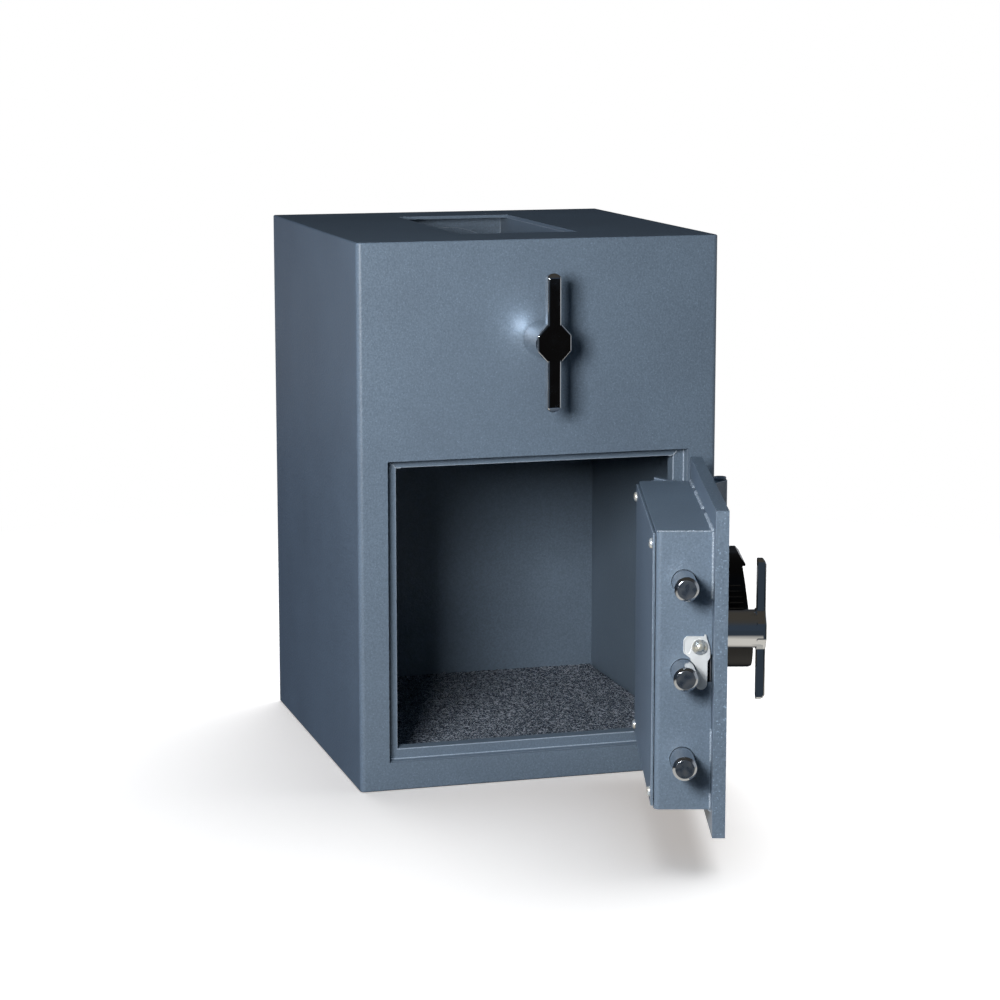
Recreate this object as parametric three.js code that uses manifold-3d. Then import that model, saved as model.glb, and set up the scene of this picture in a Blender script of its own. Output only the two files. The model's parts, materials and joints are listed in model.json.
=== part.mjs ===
// Rotary hopper safe: a welded steel cabinet with a turning deposit drum above a bolted door.
// Millimetres. X is the viewer's right, Y goes into the cabinet and Z up, from the middle of the base.
// The door and what it carries are drawn shut, inside a group that swings them open at their hinge.
import * as THREE from "three";
import { mergeVertices } from "three/addons/utils/BufferGeometryUtils.js";
import Module from "manifold-3d";

const wasm = await Module();
wasm.setup();

// Cabinet shell
const cabinetWidth = 345;
const cabinetHeight = 508;
const cabinetDepth = 368;
const cabinetSheet = 3;
const cabinetBend = 5;
const anchorHoleRadius = 6;
const anchorInset = 62;

// Floor pan and carpet
const floorPanTop = 14;
const floorPanSheet = 2;
const floorPanMargin = 1;
const carpetThickness = 5.7;
const carpetMargin = 2;

// Doorway and the rebated frame behind it
const doorwayWidth = 290;
const doorwayHeight = 282;
const doorwaySill = 26.5;
const frameSheet = 3;
const lipWidth = 11;
const sillLip = 9.8;
const headLip = 8;
const returnDepth = 12;

// Door plate
const plateThickness = 11;
const plateEdgeGap = 1.5;
const plateBackGap = 1.5;
const openAngle = THREE.MathUtils.degToRad(74.3);

// Hinges
const hingePivotInset = 3;
const hingePivotProud = 19;
const knuckleRadius = 7;
const hingeLength = 50;
const hingeFromPlateEnd = 26;
const hingeLeaf = 5;
const hingeWebInset = 1;
const hingePinRadius = 3.5;
const hingePinHead = 2.5;
const hingePinHeadRadius = 6;
const strapReach = 26;
const caseLeafWidth = 20;

// Bolt box on the door
const boxDepth = 48;
const boxSheet = 3;
const boxBend = 5;
const boxFreeSetback = 18;
const boxHingeSetback = 17.5;
const boxTopSetback = 20;
const boxBottomSetback = 20;
const coverThickness = 2;
const coverGap = 0.5;
const coverInset = 2.5;
const coverWindowInset = 24;
const coverScrewInset = 10;
const screwRadius = 2.5;
const screwHeadRadius = 4.5;
const screwHeadHeight = 3;
const screwLength = 8;
const deadBarSheet = 3;
const deadBarFoot = 22;
const deadBarStart = 15;
const deadBarReach = 22;
const deadBarRise = 18;

// Bolts and the carriage that moves them
const boltRadius = 10.3;
const boltChamfer = 2.5;
const boltSetback = 24.5;
const boltPitch = 76;
const boltMiddleHeight = 168;
const boltThrown = 34;
const boltTravel = 31;
const boltTail = 33.5;
const boltHoleClearance = 1.2;
const barThickness = 8;
const barDepth = 26;
const barOverhang = 12;
const dragSheet = 3;
const dragWidth = 22;
const stripHeight = 18;
const stripAboveCrank = 6;
const yokeWeb = 6;

// Handles, crank and guide
const handleHeight = 180;
const handleFromFreeEdge = 127;
const handleReach = 43;
const handleStandoff = 1;
const handleHubRadius = 16.8;
const handleBossWidth = 31.8;
const handleBossHeight = 34.6;
const handleBossDepth = 9;
const handleLength = 126;
const handleArmWidth = 12;
const handleArmDepth = 7.5;
const handleBevel = 1.5;
const handleLap = 1;
const handleSocket = 20;
const spindleRadius = 7;
const crankDiscRadius = 30;
const crankDiscDepth = 5;
const crankGap = 1.5;
const crankPinRadius = 4;
const crankPinLength = 8.5;
const crankPinPlay = 0.85;
const guidePostRadius = 4;
const guideHeadRadius = 7.5;
const guideHeadDepth = 2.5;
const guideFromCrank = -13.5;

// Lock case and its bolt
const lockFromHingeEdge = 68;
const lockWidth = 55;
const lockHeight = 85;
const lockDepth = 28;
const lockBelowStrip = 3;
const lockBoltWidth = 17;
const lockBoltDepth = 12;
const lockBoltLength = 29.5;
const lockBoltSetback = 5;
const lockShoulderGap = 1;
const lockCableRadius = 5;

// Detent lever on the free side of the bolt box
const leverAboveBolt = 21;
const leverSetback = 10.8;
const leverSheet = 2;
const leverTop = 8.3;
const leverShoulder = 8.1;
const leverTailFront = 5.1;
const leverFoot = 35.6;
const leverNose = 13.4;
const leverChin = 3.8;
const leverCorner = 2.2;
const leverBoltGap = 0.6;
const rivetRadius = 2.5;
const rivetHeadRadius = 4.2;
const rivetHeadHeight = 2.6;
const rivetCollarRadius = 6.8;
const rivetCollar = 0.8;
const springSlotWidth = 5.5;
const springSlotLength = 23.7;
const springSlotDrop = 19;
const springSheet = 1.2;
const springDepth = 8;

// Keypad
const keypadWidth = 88;
const keypadBottom = 128;
const keypadHeight = 105;
const keypadCorner = 30;
const keypadTopDepth = 27.5;
const keypadSlope = THREE.MathUtils.degToRad(7.8);
const drawerHeight = 30;
const drawerDepth = 38.5;
const drawerTongueWidth = 52;
const drawerTongueDepth = 7;
const drawerTongueHeight = 22;
const drawerTongueSetback = 2;
const visorHeight = 8.6;
const visorProud = 2.8;
const visorLip = 2;
const keyWidth = 13;
const keyHeight = 9;
const keyPitchX = 17;
const keyPitchUp = 12.5;
const keyProud = 2.2;
const keySunk = 3.3;
const keyPocket = 5;
const keyRowsAboveFoot = 60;
const keyRows = 4;
const keyColumns = 3;

// Hopper drum, throat and bearings
const mouthWidth = 115;
const mouthLength = 232;
const mouthSetback = 72;
const drumAxisDrop = 91;
const drumRadius = 78;
const drumSheet = 2.5;
const drumHem = 8;
const drumOverhang = 25;
const throatSheet = 3;
const throatGap = 1.8;
const throatEndGap = 2;
const axleRadius = 8;
const axleFlangeRadius = 25;
const axleFlange = 3;
const axleTail = 14;
const bushRadius = 11.7;
const bushFlangeRadius = 17;
const bushFlange = 3;
const bushLength = 14;
const bearingSheet = 3;
const bearingWidth = 90;
const bearingDrop = 32;
const stopCamHub = 16;
const stopCamRadius = 40;
const stopCamDepth = 8;
const stopCamSetback = 17;
const stopStudRadius = 4;
const stopStudOrbit = 34;
const stopStudLength = 27;

// Clearances: bearing faces and pins, sliding keys, a bolt behind the frame
const seat = 0.3;
const keyPlay = 0.4;
const boltSeatGap = 1;
const hingeGap = 0.5;
const overcut = 1;

// Facets on round pieces
const fineSides = 48;
const plainSides = 24;
const smallSides = 12;
const bossSides = 8;
const bevelSteps = 2;

// Places that follow from the sizes, with the door shut
const frontFace = -cabinetDepth / 2;
const backFace = cabinetDepth / 2;
const sideFace = cabinetWidth / 2;
const frontInner = frontFace + cabinetSheet;
const backInner = backFace - cabinetSheet;
const topInner = cabinetHeight - cabinetSheet;
const sideInner = sideFace - cabinetSheet;
const doorwaySide = doorwayWidth / 2;
const doorwayHead = doorwaySill + doorwayHeight;
const plateSide = doorwaySide - plateEdgeGap;
const plateBottom = doorwaySill + plateEdgeGap;
const plateTop = doorwayHead - plateEdgeGap;
const plateInner = frontFace + plateThickness;
const lipFace = plateInner + plateBackGap;
const lipBack = lipFace + frameSheet;
const pivotX = sideFace - hingePivotInset;
const pivotY = frontFace - hingePivotProud;
const boxFree = -plateSide + boxFreeSetback;
const boxHinge = plateSide - boxHingeSetback;
const boxTop = plateTop - boxTopSetback;
const boxBottom = plateBottom + boxBottomSetback;
const boxBack = plateInner + boxDepth;
const boltY = plateInner + boltSetback;
const handleX = -plateSide + handleFromFreeEdge;
const crankRadius = boltTravel / (2 * Math.sin(Math.PI / 4));
const pinX = handleX - boltTravel / 2;
const pinZ = handleHeight + boltTravel / 2;
const stripBase = handleHeight + crankDiscRadius + stripAboveCrank;
const leverHeight = boltMiddleHeight + leverAboveBolt;
const keypadTop = keypadBottom + keypadHeight;
const lockX = plateSide - lockFromHingeEdge;
const drumAxis = cabinetHeight - drumAxisDrop;
const mouthFront = frontFace + mouthSetback;
const mouthBack = mouthFront + mouthLength;
const drumFront = mouthFront - drumOverhang;
const drumBack = mouthBack + drumOverhang;

// Solids that can be joined and cut

function solid(geometry) {
  const bare = geometry.clone();
  bare.deleteAttribute("normal");
  bare.deleteAttribute("uv");
  const merged = mergeVertices(bare);
  return new wasm.Manifold(
    new wasm.Mesh({
      numProp: 3,
      vertProperties: merged.attributes.position.array,
      triVerts: new Uint32Array(merged.index.array),
    }),
  );
}

function geometryOf(body) {
  const mesh = body.getMesh();
  const geometry = new THREE.BufferGeometry();
  geometry.setAttribute("position", new THREE.BufferAttribute(mesh.vertProperties, 3));
  geometry.setIndex(new THREE.BufferAttribute(mesh.triVerts, 1));
  geometry.computeVertexNormals();
  return geometry;
}

function join(...bodies) {
  return bodies.reduce((whole, next) => whole.add(next));
}

function cut(body, ...tools) {
  return tools.reduce((left, tool) => left.subtract(tool), body);
}

// Basic forms, each given by where it starts and ends

function block(x0, x1, y0, y1, z0, z1) {
  const size = [Math.abs(x1 - x0), Math.abs(y1 - y0), Math.abs(z1 - z0)];
  const centre = [(x0 + x1) / 2, (y0 + y1) / 2, (z0 + z1) / 2];
  return solid(new THREE.BoxGeometry(...size).translate(...centre));
}

// A cylinder along Y, at x and z.
function rodY(radius, y0, y1, x, z, sides = plainSides) {
  const length = Math.abs(y1 - y0);
  const geometry = new THREE.CylinderGeometry(radius, radius, length, sides);
  return solid(geometry.translate(x, (y0 + y1) / 2, z));
}

// A cylinder along X, at y and z.
function rodX(radius, x0, x1, y, z, sides = plainSides) {
  const length = Math.abs(x1 - x0);
  const geometry = new THREE.CylinderGeometry(radius, radius, length, sides);
  return solid(geometry.rotateZ(Math.PI / 2).translate((x0 + x1) / 2, y, z));
}

// A cylinder along Z, at x and y.
function rodZ(radius, z0, z1, x, y, sides = plainSides) {
  const length = Math.abs(z1 - z0);
  const geometry = new THREE.CylinderGeometry(radius, radius, length, sides);
  return solid(geometry.rotateX(Math.PI / 2).translate(x, y, (z0 + z1) / 2));
}

function extrusion(shape, depth, curveSegments) {
  return new THREE.ExtrudeGeometry(shape, { depth, bevelEnabled: false, curveSegments });
}

// A shape drawn on X and Y, raised from z0 to z1.
function prism(shape, z0, z1, curveSegments = smallSides) {
  return solid(extrusion(shape, z1 - z0, curveSegments).translate(0, 0, z0));
}

// A shape drawn on X and Z, with its thickness from y0 to y1.
function wall(shape, y0, y1, curveSegments = smallSides) {
  const geometry = extrusion(shape, y1 - y0, curveSegments);
  return solid(geometry.rotateX(Math.PI / 2).translate(0, y1, 0));
}

// A shape drawn on Y and Z, with its thickness from x0 to x1.
function cheek(shape, x0, x1, curveSegments = smallSides) {
  const turn = new THREE.Matrix4().makeBasis(
    new THREE.Vector3(0, 1, 0),
    new THREE.Vector3(0, 0, 1),
    new THREE.Vector3(1, 0, 0),
  );
  const geometry = extrusion(shape, x1 - x0, curveSegments);
  return solid(geometry.applyMatrix4(turn).translate(x0, 0, 0));
}

function polygon(points) {
  return new THREE.Shape(points.map(([a, b]) => new THREE.Vector2(a, b)));
}

function roundedRectangle(a0, a1, b0, b1, radius) {
  const shape = new THREE.Shape();
  shape.absarc(a0 + radius, b0 + radius, radius, Math.PI, 1.5 * Math.PI);
  shape.absarc(a1 - radius, b0 + radius, radius, 1.5 * Math.PI, 2 * Math.PI);
  shape.absarc(a1 - radius, b1 - radius, radius, 0, 0.5 * Math.PI);
  shape.absarc(a0 + radius, b1 - radius, radius, 0.5 * Math.PI, Math.PI);
  return shape;
}

// Finishes
function finish(color, roughness, metalness) {
  return new THREE.MeshStandardMaterial({ color, roughness, metalness });
}
const paint = finish(0x5b6c7d, 0.5, 0.1);
const chrome = finish(0xc9ccd0, 0.12, 1);
const zinc = finish(0xc4c8c6, 0.35, 1);
const bareSteel = finish(0x8b8f94, 0.4, 1);
const bronze = finish(0xa9824a, 0.4, 1);
const blackPlastic = finish(0x17181a, 0.45, 0);
const keyPlastic = finish(0x3a3d42, 0.5, 0);
const carpet = finish(0x3c3e46, 1, 0);

const safe = new THREE.Group();
const door = new THREE.Group();
door.position.set(-pivotX, -pivotY, 0);
const swing = new THREE.Group();
swing.position.set(pivotX, pivotY, 0);
swing.rotation.z = openAngle;
swing.add(door);
safe.add(swing);

function place(group, name, body, material) {
  const mesh = new THREE.Mesh(geometryOf(body), material);
  mesh.name = name;
  group.add(mesh);
}

// Cabinet shell: one sheet bent round the front and sides, closed by welded panels

function shellPlan(backEdge) {
  const pastBack = backEdge + 2 * cabinetBend;
  const plan = roundedRectangle(-sideFace, sideFace, frontFace, pastBack, cabinetBend);
  return { plan, pastBack };
}

// What the rounded outline runs to behind its back edge
function behind(edge, pastBack, z0, z1) {
  const side = sideFace + overcut;
  return block(-side, side, edge, pastBack + overcut, z0 - overcut, z1 + overcut);
}

function cabinetPanel(z0, z1) {
  const { plan, pastBack } = shellPlan(backFace);
  return cut(prism(plan, z0, z1), behind(backFace, pastBack, z0, z1));
}

function doorwayBlock(y0, y1) {
  return block(-doorwaySide, doorwaySide, y0, y1, doorwaySill, doorwayHead);
}

function bentWrap() {
  const z0 = cabinetSheet;
  const z1 = topInner;
  const { plan, pastBack } = shellPlan(backInner);
  const hollow = roundedRectangle(
    -sideInner,
    sideInner,
    frontInner,
    pastBack + cabinetSheet,
    cabinetBend - cabinetSheet,
  );
  return cut(
    prism(plan, z0, z1),
    prism(hollow, z0 - overcut, z1 + overcut),
    behind(backInner, pastBack, z0, z1),
    doorwayBlock(frontFace - overcut, frontInner + overcut),
    rodY(bushRadius + seat, frontFace - overcut, frontInner + overcut, 0, drumAxis),
  );
}

// Holes for the bolts that hold the safe down, through a panel that runs from z0 to z1
function anchorHoles(z0, z1) {
  const holes = [];
  for (const x of [-sideFace + anchorInset, sideFace - anchorInset]) {
    for (const y of [frontFace + anchorInset, backFace - anchorInset]) {
      holes.push(rodZ(anchorHoleRadius, z0 - overcut, z1 + overcut, x, y));
    }
  }
  return holes;
}

const mouth = block(
  -mouthWidth / 2,
  mouthWidth / 2,
  mouthFront,
  mouthBack,
  topInner - overcut,
  cabinetHeight + overcut,
);
place(safe, "cabinet_wrap", bentWrap(), paint);
place(safe, "top_panel", cut(cabinetPanel(topInner, cabinetHeight), mouth), paint);
const bottomPanel = cut(cabinetPanel(0, cabinetSheet), ...anchorHoles(0, cabinetSheet));
place(safe, "bottom_panel", bottomPanel, paint);
const backPanel = block(-sideFace, sideFace, backInner, backFace, cabinetSheet, topInner);
place(safe, "back_panel", backPanel, paint);

// Door frame: a rebate, a lip that the door closes against and a return flange behind the lip

function frameRing(outset, inner, y0, y1) {
  const outer = block(
    inner.left - outset,
    inner.right + outset,
    y0,
    y1,
    inner.sill - outset,
    inner.head + outset,
  );
  const through = block(inner.left, inner.right, y0 - overcut, y1 + overcut, inner.sill, inner.head);
  return cut(outer, through);
}

function doorFrame() {
  const doorway = { left: -doorwaySide, right: doorwaySide, sill: doorwaySill, head: doorwayHead };
  const opening = {
    left: -doorwaySide + lipWidth,
    right: doorwaySide - lipWidth,
    sill: doorwaySill + sillLip,
    head: doorwayHead - headLip,
  };
  const rebate = frameRing(frameSheet, doorway, frontInner, lipBack);
  const lip = cut(
    doorwayBlock(lipFace, lipBack),
    block(
      opening.left,
      opening.right,
      lipFace - overcut,
      lipBack + overcut,
      opening.sill,
      opening.head,
    ),
  );
  const returnEnd = lipBack + returnDepth;
  const flange = frameRing(frameSheet, opening, lipFace, returnEnd);
  // The thrown bolts pass behind this side, so its flange stops just short of them.
  const boltSide = boltY - boltRadius - boltSeatGap;
  const shortened = block(
    opening.left - frameSheet - overcut,
    opening.left + overcut,
    boltSide,
    returnEnd + overcut,
    opening.sill,
    opening.head,
  );
  return join(rebate, lip, cut(flange, shortened));
}
place(safe, "door_frame", doorFrame(), paint);

// Raised floor pan, standing on the bottom panel, with the carpet mat on it

const panSide = sideInner - floorPanMargin;
const panFront = frontInner + floorPanMargin;
const panBack = backInner - floorPanMargin;
const floorPan = cut(
  block(-panSide, panSide, panFront, panBack, cabinetSheet, floorPanTop),
  block(
    -panSide + floorPanSheet,
    panSide - floorPanSheet,
    panFront + floorPanSheet,
    panBack - floorPanSheet,
    cabinetSheet - overcut,
    floorPanTop - floorPanSheet,
  ),
  ...anchorHoles(floorPanTop - floorPanSheet, floorPanTop),
);
place(safe, "floor_pan", floorPan, paint);
const carpetBase = floorPanTop + seat;
const carpetMat = block(
  -sideInner + carpetMargin,
  sideInner - carpetMargin,
  frontInner + carpetMargin,
  backInner - carpetMargin,
  carpetBase,
  carpetBase + carpetThickness,
);
place(safe, "carpet_mat", carpetMat, carpet);

// Hopper throat: four walls under the mouth, down to the drum

const throatFront = drumFront - throatEndGap;
const throatBack = drumBack + throatEndGap;
const throatFoot = drumAxis + Math.sqrt(drumRadius ** 2 - (mouthWidth / 2) ** 2) + throatGap;
const throat = cut(
  block(
    -mouthWidth / 2 - throatSheet,
    mouthWidth / 2 + throatSheet,
    throatFront - throatSheet,
    throatBack + throatSheet,
    throatFoot,
    topInner,
  ),
  block(
    -mouthWidth / 2,
    mouthWidth / 2,
    throatFront,
    throatBack,
    throatFoot - overcut,
    topInner + overcut,
  ),
);
place(safe, "hopper_throat", throat, paint);

// Bearings: a bush in the front panel, another in a plate hung behind the throat

const bearingFront = throatBack + throatSheet;
const bearingPlate = cut(
  block(
    -bearingWidth / 2,
    bearingWidth / 2,
    bearingFront,
    bearingFront + bearingSheet,
    drumAxis - bearingDrop,
    topInner,
  ),
  rodY(bushRadius + seat, bearingFront - overcut, bearingFront + bearingSheet + overcut, 0, drumAxis),
);
place(safe, "rear_bearing_plate", bearingPlate, paint);

function flangedBush(y0, y1, flange0, flange1) {
  return cut(
    join(rodY(bushRadius, y0, y1, 0, drumAxis), rodY(bushFlangeRadius, flange0, flange1, 0, drumAxis)),
    rodY(axleRadius + seat, y0 - overcut, y1 + overcut, 0, drumAxis),
  );
}
const rearBushFront = bearingFront - seat;
const rearFlange = bearingFront + bearingSheet;
place(
  safe,
  "front_bush",
  flangedBush(frontFace, frontFace + bushLength, frontInner, frontInner + bushFlange),
  bronze,
);
const rearBushBack = rearBushFront + bushLength - axleFlange;
place(
  safe,
  "rear_bush",
  flangedBush(rearBushFront, rearBushBack, rearFlange, rearFlange + bushFlange),
  bronze,
);

// Drum: a rolled shell open at its mouth, closed by a disc at each end

function drumShell() {
  const inner = drumRadius - drumSheet;
  const half = mouthWidth / 2;
  const y0 = drumFront + drumSheet;
  const y1 = drumBack - drumSheet;
  const ring = cut(
    rodY(drumRadius, y0, y1, 0, drumAxis, fineSides),
    rodY(inner, y0 - overcut, y1 + overcut, 0, drumAxis, fineSides),
  );
  const pastTop = drumAxis + drumRadius + overcut;
  const hemTop = drumAxis + Math.sqrt(inner ** 2 - half ** 2);
  return join(
    cut(ring, block(-half, half, y0 - overcut, y1 + overcut, drumAxis, pastTop)),
    block(-half, -half + drumSheet, y0, y1, hemTop - drumHem, hemTop),
    block(half - drumSheet, half, y0, y1, hemTop - drumHem, hemTop),
  );
}

function drumDisc(y0, y1) {
  return rodY(drumRadius, y0, y1, 0, drumAxis, fineSides);
}
place(safe, "drum_shell", drumShell(), paint);
place(safe, "drum_front_disc", drumDisc(drumFront, drumFront + drumSheet), paint);
place(safe, "drum_rear_disc", drumDisc(drumBack - drumSheet, drumBack), paint);

// Stub axles with welded flanges, so that nothing crosses the inside of the drum

const hopperHandleBase = frontFace - handleStandoff;
const frontAxle = join(
  rodY(axleRadius, hopperHandleBase - handleSocket, drumFront, 0, drumAxis),
  rodY(axleFlangeRadius, drumFront - axleFlange, drumFront, 0, drumAxis),
);
const rearAxle = join(
  rodY(axleRadius, drumBack, drumBack + axleFlange + axleTail, 0, drumAxis),
  rodY(axleFlangeRadius, drumBack, drumBack + axleFlange - seat, 0, drumAxis),
);
place(safe, "front_axle", frontAxle, bareSteel);
place(safe, "rear_axle", rearAxle, bareSteel);

// Stop cam: a half-round lobe on the front axle that turns between the two sides of a fixed stud

function stopCam() {
  const clear = Math.asin((stopStudRadius + seat) / stopStudOrbit);
  const lobe = new THREE.Shape();
  lobe.absarc(0, 0, stopCamRadius, clear, Math.PI - clear, false);
  lobe.absarc(0, 0, stopCamHub, Math.PI - clear, 2 * Math.PI + clear, false);
  const y0 = frontInner + stopCamSetback;
  const y1 = y0 + stopCamDepth;
  const raised = wall(lobe, y0, y1, plainSides).translate([0, 0, drumAxis]);
  return cut(raised, rodY(axleRadius + seat, y0 - overcut, y1 + overcut, 0, drumAxis));
}
place(safe, "stop_cam", stopCam(), bareSteel);
place(
  safe,
  "stop_stud",
  rodY(stopStudRadius, frontInner, frontInner + stopStudLength, -stopStudOrbit, drumAxis, smallSides),
  bareSteel,
);

// T-handle, cast in one piece: a round hub, an eight-sided boss and a cross arm, with a spindle socket

function tHandle(baseY, x, z, spindle) {
  const tipY = baseY - handleReach;
  const armOutline = roundedRectangle(
    x - handleArmWidth / 2 + handleBevel,
    x + handleArmWidth / 2 - handleBevel,
    z - handleLength / 2 + handleBevel,
    z + handleLength / 2 - handleBevel,
    handleArmWidth / 2 - handleBevel,
  );
  const arm = new THREE.ExtrudeGeometry(armOutline, {
    depth: handleArmDepth - 2 * handleBevel,
    bevelThickness: handleBevel,
    bevelSize: handleBevel,
    bevelSegments: bevelSteps,
    curveSegments: smallSides / 2,
  });
  arm.rotateX(Math.PI / 2).translate(0, tipY + handleArmDepth - handleBevel, 0);
  const bossCorner = handleBossWidth / 2 / Math.cos(Math.PI / bossSides);
  const boss = new THREE.CylinderGeometry(bossCorner, bossCorner, handleBossDepth, bossSides);
  boss.rotateY(Math.PI / bossSides).scale(1, 1, handleBossHeight / handleBossWidth);
  boss.translate(x, tipY + handleBossDepth / 2, z);
  return cut(
    join(
      rodY(handleHubRadius, baseY, tipY + handleBossDepth - handleLap, x, z),
      solid(boss),
      solid(arm),
    ),
    rodY(spindle + seat, baseY - handleSocket - seat, baseY + overcut, x, z),
  );
}
place(safe, "hopper_handle", tHandle(hopperHandleBase, 0, drumAxis, axleRadius), chrome);

// Door plate, with holes for the handle spindle and the lock's cable

const doorPlate = cut(
  block(-plateSide, plateSide, frontFace, plateInner, plateBottom, plateTop),
  rodY(spindleRadius + seat, frontFace - overcut, plateInner + overcut, handleX, handleHeight),
  rodY(lockCableRadius, frontFace - overcut, plateInner + overcut, lockX, handleHeight),
);
place(door, "door_plate", doorPlate, paint);

// Hinges: a lower half on the cabinet's front, an upper half strapped to the door, and a pin

function hingePlaces() {
  return {
    upper: plateTop - hingeFromPlateEnd - hingeLength,
    lower: plateBottom + hingeFromPlateEnd,
  };
}

function caseHinge(z0) {
  const z1 = z0 + hingeLength / 2 - hingeGap / 2;
  const leafRight = sideFace - cabinetBend / 2;
  const leafFront = frontFace - hingeLeaf;
  return cut(
    join(
      rodZ(knuckleRadius, z0, z1, pivotX, pivotY),
      block(leafRight - caseLeafWidth, leafRight, leafFront, frontFace, z0, z1),
      block(pivotX - knuckleRadius + hingeWebInset, leafRight, pivotY, leafFront, z0, z1),
    ),
    rodZ(hingePinRadius + seat, z0 - overcut, z1 + overcut, pivotX, pivotY),
  );
}

function doorHinge(z0) {
  const low = z0 + hingeLength / 2 + hingeGap / 2;
  const high = z0 + hingeLength;
  const strapBack = frontFace - seat;
  const strapFront = strapBack - hingeLeaf;
  const strapEnd = plateSide + hingeLeaf;
  const arm = polygon([
    [strapEnd - 2 * hingeLeaf, strapFront],
    [strapEnd, strapBack],
    [pivotX + knuckleRadius * Math.SQRT1_2, pivotY + knuckleRadius * Math.SQRT1_2],
    [pivotX - knuckleRadius * Math.SQRT1_2, pivotY - knuckleRadius * Math.SQRT1_2],
  ]);
  return cut(
    join(
      rodZ(knuckleRadius, low, high, pivotX, pivotY),
      block(plateSide - strapReach, strapEnd, strapFront, strapBack, low, high),
      prism(arm, low, high),
    ),
    rodZ(hingePinRadius + seat, low - overcut, high + overcut, pivotX, pivotY),
  );
}

function hingePin(z0) {
  const top = z0 + hingeLength + seat;
  return join(
    rodZ(hingePinRadius, z0, top + seat, pivotX, pivotY),
    rodZ(hingePinHeadRadius, top, top + hingePinHead, pivotX, pivotY),
  );
}
for (const [name, z0] of Object.entries(hingePlaces())) {
  place(safe, `${name}_hinge_case_half`, caseHinge(z0), paint);
  place(door, `${name}_hinge_door_half`, doorHinge(z0), paint);
  place(safe, `${name}_hinge_pin`, hingePin(z0), bareSteel);
}

// Bolt box: a welded box on the door's back, open to the plate and closed by a screwed cover

const boltHeights = {
  upper: boltMiddleHeight + boltPitch,
  middle: boltMiddleHeight,
  lower: boltMiddleHeight - boltPitch,
};
const boxFront = plateInner + seat;
const leverY = plateInner + leverSetback;
const coverFront = boxBack + coverGap;
const coverBack = coverFront + coverThickness;
const screwPlaces = {
  upper_free: [boxFree + coverInset + coverScrewInset, boxTop - coverInset - coverScrewInset],
  lower_free: [boxFree + coverInset + coverScrewInset, boxBottom + coverInset + coverScrewInset],
  upper_hinge: [boxHinge - coverInset - coverScrewInset, boxTop - coverInset - coverScrewInset],
  lower_hinge: [boxHinge - coverInset - coverScrewInset, boxBottom + coverInset + coverScrewInset],
};

// A hole for the lever's rivet through a sheet that runs from x0 to x1
function rivetHole(x0, x1) {
  return rodX(rivetRadius + seat, x0 - overcut, x1 + overcut, leverY, leverHeight, smallSides);
}

function boltBox() {
  const pastFront = boxFront - 2 * boxBend;
  const outer = roundedRectangle(boxFree, boxHinge, pastFront, boxBack, boxBend);
  const inner = roundedRectangle(
    boxFree + boxSheet,
    boxHinge - boxSheet,
    pastFront - boxSheet,
    boxBack - boxSheet,
    boxBend - boxSheet,
  );
  const mouthSide = block(
    boxFree - overcut,
    boxHinge + overcut,
    pastFront - overcut,
    boxFront,
    boxBottom - overcut,
    boxTop + overcut,
  );
  const window = block(
    boxFree + coverWindowInset,
    boxHinge - coverWindowInset,
    boxBack - boxSheet - overcut,
    boxBack + overcut,
    boxBottom + coverWindowInset,
    boxTop - coverWindowInset,
  );
  const boltHoles = Object.values(boltHeights).map((z) =>
    rodX(boltRadius + boltHoleClearance, boxFree - overcut, boxFree + boxSheet + overcut, boltY, z),
  );
  const screwHoles = Object.values(screwPlaces).map(([x, z]) =>
    rodY(screwRadius + seat, boxBack - boxSheet - overcut, boxBack + overcut, x, z, smallSides),
  );
  const springSlot = block(
    boxFree - overcut,
    boxFree + boxSheet + overcut,
    boxFront - overcut,
    boxFront + springSlotWidth,
    leverHeight - springSlotDrop - springSlotLength / 2,
    leverHeight - springSlotDrop + springSlotLength / 2,
  );
  return cut(
    prism(outer, boxBottom, boxTop),
    mouthSide,
    prism(inner, boxBottom + boxSheet, boxTop - boxSheet),
    window,
    rivetHole(boxFree, boxFree + boxSheet),
    springSlot,
    ...boltHoles,
    ...screwHoles,
  );
}
place(door, "bolt_box", boltBox(), paint);

const coverPlate = cut(
  block(
    boxFree + coverInset,
    boxHinge - coverInset,
    coverFront,
    coverBack,
    boxBottom + coverInset,
    boxTop - coverInset,
  ),
  ...Object.values(screwPlaces).map(([x, z]) =>
    rodY(screwRadius + seat, coverFront - overcut, coverBack + overcut, x, z, smallSides),
  ),
);
place(door, "cover_plate", coverPlate, paint);
for (const [name, [x, z]] of Object.entries(screwPlaces)) {
  const headBack = coverBack + seat;
  const screw = join(
    rodY(screwRadius, headBack - screwLength, headBack + seat, x, z, smallSides),
    rodY(screwHeadRadius, headBack, headBack + screwHeadHeight, x, z, plainSides),
  );
  place(door, `cover_screw_${name}`, screw, zinc);
}

// Dead bar: an angled strip on the hinge side that hooks behind the frame when the door is shut

function deadBar() {
  const foot0 = boxHinge + seat;
  const foot1 = foot0 + deadBarSheet;
  const rootY = plateInner + deadBarStart;
  const leg = polygon([
    [foot0, rootY],
    [foot1, rootY],
    [boxHinge + deadBarReach, rootY + deadBarRise - deadBarSheet],
    [boxHinge + deadBarReach, rootY + deadBarRise],
    [boxHinge + deadBarReach - deadBarSheet, rootY + deadBarRise],
    [foot0, rootY + 2 * deadBarSheet],
  ]);
  return join(
    block(foot0, foot1, rootY, rootY + deadBarFoot, boxBottom, boxTop),
    prism(leg, boxBottom, boxTop),
  );
}
place(door, "dead_bar", deadBar(), paint);

// Bolts: chamfered round bars, butted against the carriage bar

const boltEnd = boxFree - boltThrown;
const barLeft = boxFree + boltTail;
const barRight = barLeft + barThickness;

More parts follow.
